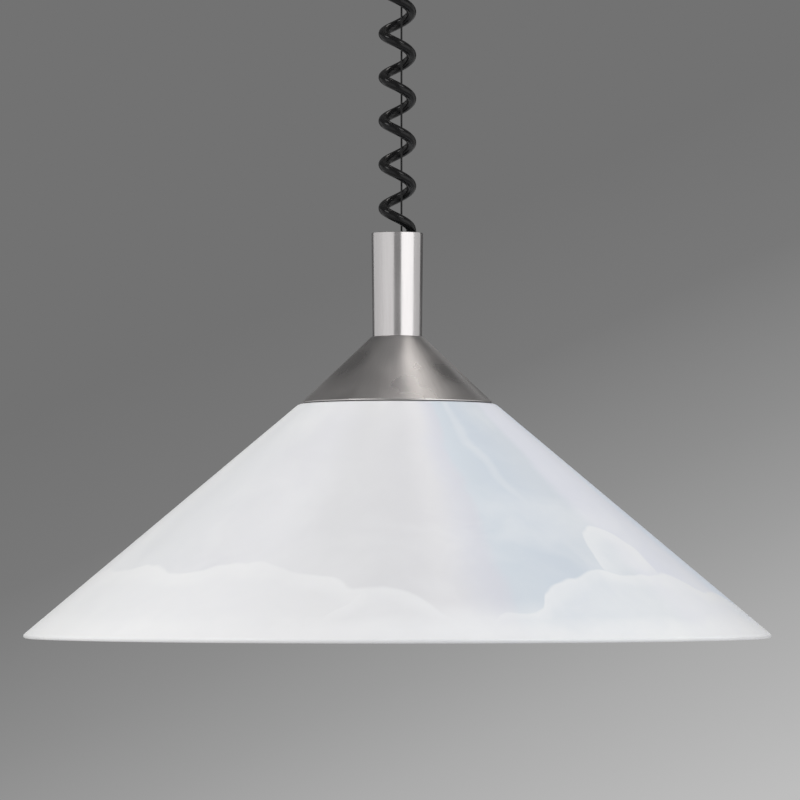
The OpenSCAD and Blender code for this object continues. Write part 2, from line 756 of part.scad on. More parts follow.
module drum_cover_screws() color(steel)
    on_reel()
        for (n = [0 : 2])
            rotate([0, 0, 120 * n + 60])
                translate([lug_at, 0, cover_y + 0.7]) slotted_screw(2.4, 5, 4, 1.1);

// The winding: a straight lead that meets the fixed stretch, the turns, and a straight end in its ferrule
loop_rings = 24;
winding_angles = [for (n = [0 : round(loop_rings * reel_turns)]) 360 * n / loop_rings];
function winding(a) = [
    reel_x + reel_d / 2 * cos(a), -reel_pitch * a / 360, reel_z + reel_d / 2 * sin(a)
];
function winding_side(a) = [cos(a), 0, sin(a)];
wind_last = 360 * reel_turns;
winding_path = concat(
    [winding(0) + [0, 0, -lead_l], winding(0) + [0, 0, -lead_l / 2]],
    [for (a = winding_angles) winding(a)],
    [winding(wind_last) + wire_end_l * [-sin(wind_last), 0, cos(wind_last)]]
);
winding_sides = concat(
    [winding_side(0), winding_side(0)],
    [for (a = winding_angles) winding_side(a)],
    [winding_side(wind_last)]
);

module wound_wire() color(black_plastic) tube_through(winding_path, winding_sides, wire_d / 2, 6);

module wire_anchor() color(brass)
    translate([reel_x - 1, wind_end_y, reel_z + reel_d / 2])
        rotate([0, -90, 0])
            difference() {
                cylinder(h = anchor_l, r = anchor_r, $fn = 32);
                translate([0, 0, -cut]) cylinder(h = wire_end_l - 1 + cut + 0.1, r = wire_d / 2 + 0.04, $fn = 32);
            }

// ---------- what hangs between the rose and the lamp ----------

module suspension_wire() color(black_plastic)
    translate([wire_x, 0, entry_z - disc_t - ferrule_l + 1])
        cylinder(h = outlet_z - entry_z + disc_t + ferrule_l - 1, d = wire_d, $fn = 24);

// The curls turn steadily, and ease to upright over curl_ease at both ends
curl_rings = 8;
turned_h = curls * curl_pitch;
function curl_depth(t) =
    t < curl_ease / 2 ? sqrt(2 * curl_ease * t)
    : t > turned_h - curl_ease / 2 ? coil_h - sqrt(2 * curl_ease * (turned_h - t))
    : t + curl_ease / 2;
curl_steps = [for (n = [0 : curls * curl_rings]) n / curl_rings];
function curl_side(step) = [cos(360 * step), sin(360 * step), 0];
curl_path = concat(
    [[cord_x, 0, outlet_z]],
    [
        for (s = curl_steps)
            curl_d / 2 * curl_side(s) + [0, 0, coil_top_z - curl_depth(max(0, min(turned_h, s * curl_pitch)))]
    ],
    [[cord_x, 0, entry_z]]
);
curl_sides = concat([curl_side(0)], [for (s = curl_steps) curl_side(s)], [curl_side(0)]);

module curly_cord() color(black_plastic) tube_through(curl_path, curl_sides, cord_d / 2, 6);

echo(curly_cord_least_gap = least_gap(curl_path, cord_d, curl_rings));
echo(wound_wire_least_gap = least_gap(winding_path, wire_d, loop_rings));
echo(curly_cord_length = curls * norm([PI * curl_d, curl_pitch]) + 2 * cord_d + curl_ease);

// ---------- lamp ----------

module handle_tube() color(nickel)
    translate([0, 0, tube_foot_z])
        rotate_extrude()
            polygon([
                [rod_d / 2 + rod_gap, 0], [tube_foot_d / 2 - 0.4, 0], [tube_foot_d / 2, 0.4],
                [tube_d / 2, tube_h - 0.4], [tube_d / 2 - 0.4, tube_h],
                [tube_bore(0) + 0.3, tube_h], [tube_bore(0), tube_h - 0.4],
                [tube_bore(disc_depth), tube_h - disc_depth + snap_ring_t + 0.05],
                [tube_bore(disc_depth) + snap_groove, tube_h - disc_depth + snap_ring_t + 0.05],
                [tube_bore(disc_depth) + snap_groove, tube_h - disc_depth],
                [tube_bore(disc_depth), tube_h - disc_depth],
                [tube_bore(tube_h), tube_wall], [rod_d / 2 + rod_gap, tube_wall]
            ]);

// Open snap ring above the entry disc: it takes the pull of the wire
module retaining_ring() color(steel)
    difference() {
        outer_r = tube_bore(disc_depth) + snap_groove - 0.05;
        sleeve(entry_z, entry_z + snap_ring_t, outer_r, outer_r - snap_ring_w);
        translate([-2 * outer_r, -3, entry_z - cut]) cube([2 * outer_r, 6, snap_ring_t + 2 * cut]);
    }

module entry_disc() color(zinc)
    translate([0, 0, entry_z - disc_t])
        difference() {
            cylinder(h = disc_t, r = disc_r);
            translate([cord_x, 0, -cut]) cylinder(h = disc_t + 2 * cut, r = cord_d / 2 + cord_gap, $fn = 64);
            translate([wire_x, 0, -cut]) cylinder(h = disc_t + 2 * cut, r = wire_d / 2 + 0.3, $fn = 48);
        }

module wire_ferrule() color(brass)
    sleeve(entry_z - disc_t - ferrule_l, entry_z - disc_t, ferrule_d / 2, wire_d / 2 + 0.04, wire_x);

module cord_crimp() color(zinc)
    sleeve(
        entry_z - disc_t - ferrule_l, entry_z - disc_t,
        cord_d / 2 + cord_gap + crimp_wall, cord_d / 2 + cord_gap, cord_x
    );

// The cord swings over to the rod's bore: heights are below the entry disc's top
lower_tail_drop = [0, 11, 15, 19, 23, 27, 31, 35, 39, 43];
function tail_shift(drop) = cord_x * (1 + cos(180 * max(0, min(1, (drop - 11) / 32)))) / 2;
lower_tail_route = concat(
    [for (drop = lower_tail_drop) [tail_shift(drop), 0, entry_z - drop]],
    [[0, 0, rod_top_z + 1], [0, 0, (rod_top_z + sheath_end_z) / 2], [0, 0, sheath_end_z]]
);

module cord_tail_lower() color(black_plastic) lead(lower_tail_route, cord_d, [0, 1, 0]);

module threaded_rod() color(zinc) sleeve(rod_foot_z, rod_top_z, rod_d / 2, rod_bore_d / 2);

upper_nut_z = tube_foot_z + tube_wall + washer_t;
lower_nut_z = cone_top_z - cone_wall - washer_t;

module rod_nuts() color(zinc) {
    hex_nut(upper_nut_z, upper_nut_z + rod_nut_t, rod_nut_af, rod_d / 2 + rod_gap);
    hex_nut(lower_nut_z - rod_nut_t, lower_nut_z, rod_nut_af, rod_d / 2 + rod_gap);
}

module rod_washers() color(zinc) {
    sleeve(upper_nut_z - washer_t, upper_nut_z, rod_d, rod_d / 2 + rod_gap);
    sleeve(lower_nut_z, lower_nut_z + washer_t, rod_d, rod_d / 2 + rod_gap);
}

// Spun sheet: flat top, straight side, and a turned-down lower edge
module metal_cone() color(nickel)
    rotate_extrude() {
        slope_h = cone_h - cone_edge_h;
        slope = atan2(slope_h, (cone_d - cone_top_d) / 2);
        aside = cone_wall * tan(slope / 2);
        hole_r = rod_d / 2 + rod_gap;
        translate([0, cone_foot_z])
            polygon([
                [hole_r, cone_h], [cone_top_d / 2 - 0.5, cone_h], [cone_top_d / 2, cone_h - 0.25],
                [cone_d / 2, cone_edge_h], [cone_d / 2, 0], [cone_d / 2 - cone_wall, 0],
                [cone_d / 2 - cone_wall, cone_edge_h - cone_wall * tan((90 - slope) / 2)],
                [cone_top_d / 2 - aside, cone_h - cone_wall], [hole_r, cone_h - cone_wall]
            ]);
    }

cap_dome_h = 7;
grub_d = 3;

module lampholder_cap() color(zinc)
    difference() {
        rotate_extrude() {
            neck_r = rod_d / 2 + 2.6;
            arch = [for (a = [0 : 10 : 90]) [sin(a), cos(a)]];
            wide = cap_d / 2 - neck_r;
            dome_z = cap_top_z - collar_h - cap_dome_h;
            polygon(concat(
                [[rod_d / 2 + rod_gap, cap_top_z], [neck_r, cap_top_z], [neck_r, dome_z + cap_dome_h]],
                [for (t = arch) [neck_r + wide * t[0], dome_z + cap_dome_h * t[1]]],
                [[cap_d / 2, shoulder_z], [cap_d / 2 - cap_wall, shoulder_z]],
                [
                    for (i = [len(arch) - 1 : -1 : 0])
                        [neck_r + (wide - cap_wall) * arch[i][0], dome_z + (cap_dome_h - cap_wall) * arch[i][1]]
                ],
                [[rod_d / 2 + rod_gap, dome_z + cap_dome_h - cap_wall]]
            ));
        }
        translate([0, 0, grub_z]) rotate([0, 90, 0]) cylinder(h = cap_d, r = grub_d / 2 + screw_gap, $fn = 48);
        translate([0, 0, earth_clamp_z])
            rotate([-90, 0, 0]) cylinder(h = cap_d, r = clamp_screw_d / 2 + screw_gap, $fn = 48);
    }

grub_z = cap_top_z - collar_h / 2;
earth_clamp_z = cap_top_z - collar_h - cap_dome_h - 4;
earth_clamp_size = [6, 6.4, 6];
earth_clamp_y = cap_d / 2 - cap_wall - earth_clamp_size[1] - 0.3;
earth_hole_y = earth_clamp_y + 2.6;

module cap_grub_screw() color(steel)
    translate([rod_d / 2 + rod_gap + 0.02, 0, grub_z])
        rotate([0, 90, 0])
            difference() {
                cylinder(h = 4, d = grub_d, $fn = 48);
                translate([-grub_d, -0.3, 3]) cube([2 * grub_d, 0.6, 2]);
            }

module earth_terminal() color(brass)
    translate([-earth_clamp_size[0] / 2, earth_clamp_y, earth_clamp_z - earth_clamp_size[2] / 2])
        difference() {
            cube(earth_clamp_size);
            translate([earth_clamp_size[0] / 2, 2.6, -cut])
                cylinder(h = earth_clamp_size[2] + 2 * cut, r = core_d / 2 + 0.2, $fn = 48);
            translate([earth_clamp_size[0] / 2, 2.6, earth_clamp_size[2] / 2])
                rotate([-90, 0, 0])
                    cylinder(h = earth_clamp_size[1], r = clamp_screw_d / 2 + screw_gap, $fn = 48);
        }

module earth_clamp_screw() color(steel)
    translate([0, cap_d / 2, earth_clamp_z])
        rotate([-90, 0, 0])
            slotted_screw(clamp_screw_d, cap_d / 2 - earth_hole_y - core_d / 2 - 0.05, 5.4, clamp_head_h);

spigot_h = 9;
spigot_r = cap_d / 2 - cap_wall - 0.1;

module lampholder_body() color(white_plastic)
    difference() {
        union() {
            rotate_extrude()
                polygon([
                    [0, shoulder_z + spigot_h], [spigot_r - 0.5, shoulder_z + spigot_h],
                    [spigot_r, shoulder_z + spigot_h - 0.5], [spigot_r, shoulder_z],
                    [holder_shoulder_d / 2 - 0.5, shoulder_z], [holder_shoulder_d / 2, shoulder_z - 0.5],
                    [holder_shoulder_d / 2, seat_z], [holder_r, seat_z],
                    [holder_r, holder_foot_z + 1.2], [holder_r - 1.2, holder_foot_z], [0, holder_foot_z]
                ]);
        }
        translate([0, 0, holder_foot_z - cut])
            cylinder(h = shoulder_z - holder_foot_z + 2 * cut, r = holder_bore_r);
        translate([0, 0, shoulder_z]) cylinder(h = spigot_h + cut, r = holder_bore_r + 1.6);
    }

terminal_x = 8;
terminal_size = [7, 8, 6];
stem_r = 1.4;
contact_w = 5;
contact_pocket = 3.6;
contact_t = 0.6;

module porcelain_insert() color(porcelain)
    difference() {
        translate([0, 0, insert_z]) cylinder(h = insert_t, r = holder_bore_r - fit);
        for (side = [-1, 1])
            translate([side * terminal_x, 0, insert_z - cut])
                cylinder(h = insert_t + 2 * cut, r = stem_r + screw_gap, $fn = 48);
        translate([-terminal_x - 2, -contact_w / 2 - 0.5, insert_z - cut])
            cube([terminal_x + 8.5, contact_w + 1, contact_pocket + cut]);
    }

// Length of a terminal's stem below the shoulder: one ends on the contact, in its pocket
function stem_l(side) = side == 180 ? insert_t - contact_pocket : insert_t;

// Each terminal's stem runs through the porcelain to the contact or the shell's flange
module holder_terminals() color(brass)
    for (side = [0, 180])
        rotate([0, 0, side])
            translate([terminal_x - terminal_size[0] / 2, -terminal_size[1] / 2, shoulder_z])
                difference() {
                    union() {
                        cube(terminal_size);
                        translate([terminal_size[0] / 2, terminal_size[1] / 2, -stem_l(side)])
                            cylinder(h = stem_l(side) + 1, r = stem_r, $fn = 48);
                    }
                    translate([terminal_size[0] / 2, terminal_size[1] / 2, 1.5])
                        cylinder(h = terminal_size[2], r = core_d / 2 + 0.2, $fn = 48);
                    translate([terminal_size[0] / 2, terminal_size[1] / 2, 3.6])
                        rotate([0, 90, 0])
                            cylinder(h = terminal_size[0], r = clamp_screw_d / 2 - 0.25, $fn = 48);
                }

module holder_terminal_screws() color(steel)
    for (side = [0, 180])
        rotate([0, 0, side])
            translate([terminal_x + terminal_size[0] / 2, 0, shoulder_z + 3.6])
                rotate([0, 90, 0])
                    slotted_screw(clamp_screw_d - 0.6, terminal_size[0] / 2 - core_d / 2 - 0.05, 4.2, 1.8);

// Nickelled sleeve with an inward flange against the porcelain
module screw_shell() color(nickel) {
    sleeve(socket_z, insert_z - shell_t, socket_d / 2 + shell_t, socket_d / 2);
    sleeve(insert_z - shell_t, insert_z, socket_d / 2 + shell_t, terminal_x - stem_r + 0.9);
}

// A bent strip on the pocket's ceiling, whose nose meets the lamp's tip
module centre_contact() color(brass)
    translate([0, contact_w / 2, insert_z + contact_pocket])
        rotate([90, 0, 0])
            linear_extrude(contact_w)
                polygon([
                    [-terminal_x - 1.5, 0], [-terminal_x - 1.5, -contact_t], [-3.6, -contact_t], [0.8, -4.4],
                    [4.2, -4.4], [5.8, -3.4], [5.5, -2.9], [4, -3.8], [1.1, -3.8], [-3.3, 0]
                ]);

// Routes of the three cores inside the cap; n is the core's place in the sheath
function lower_core(side, n) = [
    [core_start(n)[0], core_start(n)[1], sheath_end_z - core_gap],
    [core_start(n)[0], core_start(n)[1], sheath_end_z - core_gap - 1.2],
    [side * 3.4, core_start(n)[1] * 0.8, sheath_end_z - 5],
    [side * 6.2, core_start(n)[1] * 0.4, sheath_end_z - 8],
    [side * terminal_x, 0, sheath_end_z - 11.5],
    [side * terminal_x, 0, shoulder_z + terminal_size[2]],
    [side * terminal_x, 0, shoulder_z + 2]
];

module brown_core_lower() color(brown) lead(lower_core(-1, 1), core_d, [0, 1, 0]);

module blue_core_lower() color(blue) lead(lower_core(1, 2), core_d, [0, 1, 0]);

earth_route = [
    [0, core_spread, sheath_end_z - core_gap], [0, core_spread, sheath_end_z - core_gap - 1.2],
    [0, core_spread + 2.6, sheath_end_z - 3.6], [0, core_spread + 7.4, sheath_end_z - 3.6],
    [0, earth_hole_y - 1.2, sheath_end_z - 4.2], [0, earth_hole_y, sheath_end_z - 6],
    [0, earth_hole_y, earth_clamp_z - 1.5]
];

module earth_core_lower() color(green) lead(earth_route, core_d, [1, 0, 0]);

module upper_gasket() color(rubber) sleeve(glass_z, seat_z, gasket_d / 2, shade_hole_r);

module lower_gasket() color(rubber) sleeve(ring_top_z, ring_top_z + gasket_t, gasket_d / 2, shade_hole_r);

// The wall's middle line: flat top, a bend, and a straight slope down to the rounded rim
rim_r = (shade_d - shade_wall) / 2;
rim_z = -shade_h + shade_wall / 2;
slope_a = atan2(-shade_wall / 2 - rim_z, rim_r - shoulder_d / 2);
bend_at = [shoulder_d / 2 - shoulder_bend * tan(slope_a / 2), -shade_wall / 2 - shoulder_bend];

// Points on an arc; angles turn from straight up towards the outside
function arc(centre, r, from, to, steps) = [
    for (n = [0 : steps]) let (a = from + (to - from) * n / steps) centre + r * [sin(a), cos(a)]
];

module glass_shade() color(opal)
    translate([0, 0, glass_z])
        rotate_extrude($fn = 144)
            polygon(concat(
                [[shade_hole_r, -shade_wall], [shade_hole_r, 0]],
                arc(bend_at, shoulder_bend + shade_wall / 2, 0, slope_a, 6),
                arc([rim_r, rim_z], shade_wall / 2, slope_a, slope_a + 180, 12),
                arc(bend_at, shoulder_bend - shade_wall / 2, slope_a, 0, 6)
            ));

// Moulded nut with a finger grip round its flange
module shade_ring() color(white_plastic) {
    flange_h = 3;
    notches = 20;
    skirt_r = holder_r + 4;
    difference() {
        union() {
            translate([0, 0, ring_top_z - flange_h]) cylinder(h = flange_h, d = shade_ring_d);
            translate([0, 0, ring_top_z - shade_ring_h]) cylinder(h = shade_ring_h, r = skirt_r);
        }
        translate([0, 0, ring_top_z - shade_ring_h - cut])
            cylinder(h = shade_ring_h + 2 * cut, r = holder_r + screw_gap);
        for (n = [0 : notches - 1])
            rotate([0, 0, 360 * n / notches])
                translate([shade_ring_d / 2 + 0.8, 0, ring_top_z - flange_h - cut])
                    cylinder(h = flange_h + 2 * cut, r = 2, $fn = 32);
    }
}

ceiling_bracket();
rose_cover();
rose_screws();
outlet_bush();
bush_nut();
grip_screw();
cord_tail_upper();
brown_core_upper();
blue_core_upper();
earth_core_upper();
terminal_block();
terminal_inserts();
terminal_screws();
block_screw();
earth_screw();
earth_tag();
earth_link();
reel_frame();
frame_screws();
reel_axle();
axle_clip();
clock_spring();
wire_guide();
reel_wire_lead();
wire_drum();
drum_bush();
drum_cover();
drum_cover_screws();
wound_wire();
wire_anchor();
suspension_wire();
curly_cord();
handle_tube();
retaining_ring();
entry_disc();
wire_ferrule();
cord_crimp();
cord_tail_lower();
threaded_rod();
rod_nuts();
rod_washers();
metal_cone();
lampholder_cap();
cap_grub_screw();
earth_terminal();
earth_clamp_screw();
lampholder_body();
porcelain_insert();
holder_terminals();
holder_terminal_screws();
screw_shell();
centre_contact();
brown_core_lower();
blue_core_lower();
earth_core_lower();
upper_gasket();
glass_shade();
lower_gasket();
shade_ring();
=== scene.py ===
# %% [markdown]
# # A rise and fall pendant
# A glass cone hangs from a sprung reel on a thin wire, and a curly cord brings the current down round the
# wire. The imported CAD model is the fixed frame: its nodes keep their places and get real finishes here, and
# what CAD draws coarsely (curls, soft leads, rolled threads, turned shells) is made again, smooth, in place.

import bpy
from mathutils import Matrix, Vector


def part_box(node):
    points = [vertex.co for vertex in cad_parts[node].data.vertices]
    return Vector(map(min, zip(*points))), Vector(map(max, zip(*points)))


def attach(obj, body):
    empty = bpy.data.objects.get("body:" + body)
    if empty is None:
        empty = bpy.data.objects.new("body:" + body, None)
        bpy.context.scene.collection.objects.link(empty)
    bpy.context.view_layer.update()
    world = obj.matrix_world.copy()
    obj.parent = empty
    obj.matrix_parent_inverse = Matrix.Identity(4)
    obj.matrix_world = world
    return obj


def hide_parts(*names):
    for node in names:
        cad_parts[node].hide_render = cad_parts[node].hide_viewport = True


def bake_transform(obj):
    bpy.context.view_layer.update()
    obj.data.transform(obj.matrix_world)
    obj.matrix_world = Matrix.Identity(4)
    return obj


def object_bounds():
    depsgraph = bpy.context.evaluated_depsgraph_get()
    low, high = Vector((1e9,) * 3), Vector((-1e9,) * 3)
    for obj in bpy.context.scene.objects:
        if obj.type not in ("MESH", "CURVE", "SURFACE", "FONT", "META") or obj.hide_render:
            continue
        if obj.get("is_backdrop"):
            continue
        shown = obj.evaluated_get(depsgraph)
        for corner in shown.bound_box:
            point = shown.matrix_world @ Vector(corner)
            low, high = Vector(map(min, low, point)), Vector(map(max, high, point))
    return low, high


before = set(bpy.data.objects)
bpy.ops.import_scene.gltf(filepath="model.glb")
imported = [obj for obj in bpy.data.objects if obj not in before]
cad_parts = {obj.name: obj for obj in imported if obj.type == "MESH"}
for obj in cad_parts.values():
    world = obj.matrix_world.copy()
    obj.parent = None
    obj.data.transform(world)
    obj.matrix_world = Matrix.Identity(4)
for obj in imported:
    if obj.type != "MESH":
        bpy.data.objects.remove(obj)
cad_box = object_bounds()
print("CAD box", cad_box)

# %% What the lesson uses
import math

import bmesh
import bpy
from mathutils import Vector

MM = 0.001
UP = Vector((0, 0, 1))
scene = bpy.context.scene


def mesh_of(form, name):
    """A mesh from a finished bmesh."""
    mesh = bpy.data.meshes.new(name)
    form.to_mesh(mesh)
    form.free()
    return mesh


def new_object(name, data):
    """Puts a mesh, a lamp or a camera in the scene."""
    made = bpy.data.objects.new(name, data)
    scene.collection.objects.link(made)
    return made


# %% [markdown]
# ## Camera
# The photograph was taken from nearly 3 m away with a long lens, a little below the middle of the shade: the
# rim's lower edge is almost straight and the cone's edge bows down by a hair. A tilt of 2 degrees, with no
# shift, puts the lamp low in the frame and lets the cord leave it at the top.

# %% Place the camera
camera_at = (0.0016, -2.75, -0.6163)
focal_px, picture_px = 4551.0, 800.0
sensor_mm = 36.0
tilt_deg = 2.15

camera_data = bpy.data.cameras.new("camera")
camera_data.sensor_width = sensor_mm
camera_data.lens = sensor_mm * focal_px / picture_px
camera_data.clip_end = 60.0
camera = new_object("camera", camera_data)
camera.location = camera_at
camera.rotation_euler = (math.radians(90.0 + tilt_deg), 0.0, 0.0)
scene.camera = camera
print("lens", round(camera_data.lens, 1), "mm")

# %% [markdown]
# ## Helpers for node trees
# Every colour is written as the sRGB hex value that one would read off a picture, and turned to linear light
# in one place. One function adds a node with its settings and its inputs, so that a tree reads from top to
# bottom. The inputs go by name, or in their order in a list. An input takes a value, a socket, or a node,
# which stands for the first output that it has in use.

# %% Colour and node helpers
MATH, VECTOR_MATH, MIX = "ShaderNodeMath", "ShaderNodeVectorMath", "ShaderNodeMix"
MAP_RANGE, NOISE = "ShaderNodeMapRange", "ShaderNodeTexNoise"
smooth = {"interpolation_type": "SMOOTHSTEP"}
colours = {"data_type": "RGBA"}


def linear(hex_colour):
    parts = [int(hex_colour[i:i + 2], 16) / 255 for i in (1, 3, 5)]
    return [c / 12.92 if c <= 0.04045 else ((c + 0.055) / 1.055) ** 2.4 for c in parts] + [1.0]


def set_inputs(tree, node, inputs):
    """Gives a node's inputs their values, or links them."""
    for name, value in inputs.items() if isinstance(inputs, dict) else enumerate(inputs):
        if isinstance(value, bpy.types.Node):
            value = next(output for output in value.outputs if output.enabled)
        if isinstance(value, bpy.types.NodeSocket):
            tree.links.new(value, node.inputs[name])
        else:
            node.inputs[name].default_value = value


def add_node(tree, kind, inputs={}, operation=None, **settings):
    """Adds a node with its inputs, its operation if it has one, and its other settings."""
    node = tree.nodes.new(kind)
    if operation:
        node.operation = operation
    for name, value in settings.items():
        setattr(node, name, value)
    set_inputs(tree, node, inputs)
    return node


def new_material(name):
    """An empty material with its Principled shader, and Object coordinates."""
    material = bpy.data.materials.new(name)
    material.use_nodes = True
    tree = material.node_tree
    tree.nodes.clear()
    shader = add_node(tree, "ShaderNodeBsdfPrincipled")
    add_node(tree, "ShaderNodeOutputMaterial", {"Surface": shader})
    place = add_node(tree, "ShaderNodeTexCoord").outputs["Object"]
    return material, tree, shader, place


print("alabaster white", [round(c, 3) for c in linear("#e9ebee")])

# %% [markdown]
# ## Studio
# The photograph's backdrop is a plain grey that grows paler towards the lower right. The camera sees it in
# the world, whichever way it looks. Mirror rays, and rays through clear matter, see it straight ahead only.
# Elsewhere they see a plain room, paler on the camera's side, because the nickel would look flat if it had
# the backdrop all round. The lamp itself is lit by an even pale sky. A pale floor lies well below, where the
# other views find the lamp's soft shadow. It is clear from below, so that it doesn't hide the lamp's
# underside.

# %% World and floor
backdrop_greys = ((0.0, "#727272"), (0.23, "#787878"), (0.46, "#8d8d8d"), (0.6, "#9b9b9b"), (0.74, "#aaaaaa"),
                  (1.0, "#bebebe"))
backdrop_slope, backdrop_middle = (2.864, 0.0, -6.365), 0.4476
straight_ahead = (0.965, 0.988)  # a direction's Y where mirrors begin to show the backdrop, and show it in full
room_front, room_back = 0.3, 0.1
sky_strength = 1.05
floor_z, floor_r = -2.55, 9.0

scene.view_settings.view_transform = "Standard"
world = bpy.data.worlds.new("studio")
scene.world = world
world.use_nodes = True
sky = world.node_tree
sky.nodes.clear()
direction = add_node(sky, "ShaderNodeTexCoord").outputs["Generated"]
# How far a direction lies towards the lower right: 0 where the grey is darkest, 1 where it is palest
slant = add_node(sky, VECTOR_MATH, [direction, backdrop_slope], "DOT_PRODUCT")
shade = add_node(sky, MATH, [slant, backdrop_middle], "ADD", use_clamp=True)
ramp = add_node(sky, "ShaderNodeValToRGB", {"Fac": shade})
ramp.color_ramp.elements.remove(ramp.color_ramp.elements[1])
for position, grey in backdrop_greys:
    stop = ramp.color_ramp.elements.new(position) if position else ramp.color_ramp.elements[0]
    stop.color = linear(grey)
rays = add_node(sky, "ShaderNodeLightPath")
seen = add_node(sky, MATH, [rays.outputs["Is Camera Ray"], rays.outputs["Is Glossy Ray"]], "MAXIMUM")
seen = add_node(sky, MATH, [seen, rays.outputs["Is Transmission Ray"]], "MAXIMUM")
heading = add_node(sky, "ShaderNodeSeparateXYZ", {"Vector": direction})
ahead = add_node(sky, MAP_RANGE, {
    "Value": heading.outputs["Y"], "From Min": straight_ahead[0], "From Max": straight_ahead[1]}, **smooth)
ahead = add_node(sky, MATH, [ahead, rays.outputs["Is Camera Ray"]], "MAXIMUM")
room = add_node(sky, MAP_RANGE, {
    "Value": heading.outputs["Y"], "From Min": -0.75, "From Max": 0.45, "To Min": room_front,
    "To Max": room_back}, **smooth)
around = add_node(sky, MIX, {"Factor": ahead, "A": room, "B": ramp}, **colours)
light = add_node(sky, "ShaderNodeBackground", {"Color": linear("#ffffff"), "Strength": sky_strength})
backdrop = add_node(sky, "ShaderNodeBackground", {"Color": around, "Strength": 1.0})
mixed = add_node(sky, "ShaderNodeMixShader", [seen, light, backdrop])
add_node(sky, "ShaderNodeOutputWorld", {"Surface": mixed})

floor_form = bmesh.new()
bmesh.ops.create_circle(floor_form, cap_ends=True, segments=96, radius=floor_r)
bmesh.ops.translate(floor_form, verts=floor_form.verts, vec=(0, 0, floor_z))
floor = new_object("floor", mesh_of(floor_form, "floor"))
floor_paint, tree, shader, place = new_material("pale_floor_paint")
mottle = add_node(tree, NOISE, {"Vector": place, "Scale": 3.0, "Detail": 3.0})
tone = add_node(tree, MIX, {"Factor": mottle, "A": linear("#b9b9b9"), "B": linear("#c0c0c0")}, **colours)
set_inputs(tree, shader, {"Base Color": tone, "Roughness": 0.8})
side = add_node(tree, "ShaderNodeNewGeometry")
clear = add_node(tree, "ShaderNodeBsdfTransparent")
cover = add_node(tree, "ShaderNodeMixShader", [side.outputs["Backfacing"], shader, clear])
surface = next(n for n in tree.nodes if n.type == "OUTPUT_MATERIAL")
set_inputs(tree, surface, {"Surface": cover})
floor.data.materials.append(floor_paint)
floor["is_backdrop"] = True

# %% [markdown]
# Soft boxes are what brushed metal shows: on the tube, each is a vertical stripe as wide as the box. The
# boxes' places come from those stripes. A stripe at an angle on the tube is a box at twice that angle from
# the camera, and the narrow dark stripe in the middle is the gap between the left box and the right one. The
# cone's slope looks up, so it shows the boxes overhead. The rose hides the steepest part of the sky from the
# cone's middle, and the box behind it is strong, to reach the middle all the same. The two glint boxes give
# each curl of the black cord its streak. No box is seen itself, and none lights what is matt: the sky does.

# %% Soft boxes
def softbox(name, azimuth, elevation, distance, width, height, radiance, tint="#ffffff"):
    """A soft box that faces the lamp, in metres. Azimuth 0 is the camera's side, and 90 the lamp's right."""
    target = Vector((0, 0, -0.5))
    a, e = math.radians(azimuth), math.radians(elevation)
    toward = Vector((math.sin(a) * math.cos(e), -math.cos(a) * math.cos(e), math.sin(e)))
    data = bpy.data.lights.new(name, "AREA")
    data.shape = "RECTANGLE"
    data.size, data.size_y = width, height
    data.energy = radiance * math.pi * width * height
    data.color = linear(tint)[:3]
    box = new_object(name, data)
    box.location = target + distance * toward
    box.rotation_euler = (-toward).to_track_quat("-Z", "Y").to_euler()
    box.visible_camera = box.visible_diffuse = False


softbox("box_right", 48.3, 2, 3.0, 3.62, 2.4, 1.22)
softbox("box_left", -43.5, 2, 3.0, 3.26, 2.4, 0.62)
softbox("box_left_back", -103, 2, 3.0, 3.5, 2.4, 0.6)
softbox("box_right_back", 103, 2, 3.0, 2.4, 2.4, 0.54)
softbox("box_overhead", 127, 71, 2.0, 0.62, 0.64, 0.86, "#fffbf7")
softbox("box_overhead_back", 168, 73.5, 2.0, 0.6, 0.4, 6.0, "#fffbf7")
softbox("box_overhead_low", 131, 58, 2.0, 0.5, 0.28, 0.25, "#fffbf7")
softbox("box_top_left", -126, 67, 2.0, 0.5, 0.7, 0.07)
softbox("box_back_high", 160, 25, 3.2, 1.0, 0.7, 0.22)
softbox("glint_left_high", -62, 44, 3.0, 1.0, 0.8, 6.0)
softbox("glint_right_high", 48, 44, 3.0, 1.0, 0.8, 6.0)
print("soft boxes", list(bpy.data.lights.keys()))

# %% [markdown]
# ## Sizes
# The sizes of the part's source. Pieces that are made again here lie on these values.

# %% Sizes in millimetres
outlet_z, cord_x, wire_x = -83.0, 8.5, 2.5
cord_d, wire_d = 6.0, 1.2
curl_r, curl_pitch, curls, curl_ease, straight = 8.5, 26.5, 12, 6.0, 6.0
turned_h = curls * curl_pitch
entry_z = outlet_z - turned_h - curl_ease - 2 * straight
tube_h, cone_h, glass_h = 63, 40, 141
tube_top_z = entry_z + 7
tube_foot_z = tube_top_z - tube_h
cone_foot_z = tube_foot_z - cone_h
glass_z = cone_foot_z - 0.6
seat_z = glass_z + 1.5
shoulder_z = seat_z + 2.5
insert_z = shoulder_z - 8.5
socket_z = insert_z - 26
cap_top_z = tube_foot_z - 7
rod_top_z, rod_foot_z = tube_foot_z + 7.5, cap_top_z - 6.5
sheath_end_z = rod_foot_z - 1
reel_x, reel_z, reel_r = -15.5, -38.0, 18.0
print("tube", tube_top_z, "cone foot", cone_foot_z, "glass", glass_z, "socket mouth", socket_z)
for node, value in (("handle_tube", tube_top_z), ("glass_shade", glass_z), ("metal_cone", tube_foot_z)):
    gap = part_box(node)[1].z / MM - value
    print(node, "top against the CAD node", round(gap, 3), "mm")
    assert abs(gap) < 0.02, node

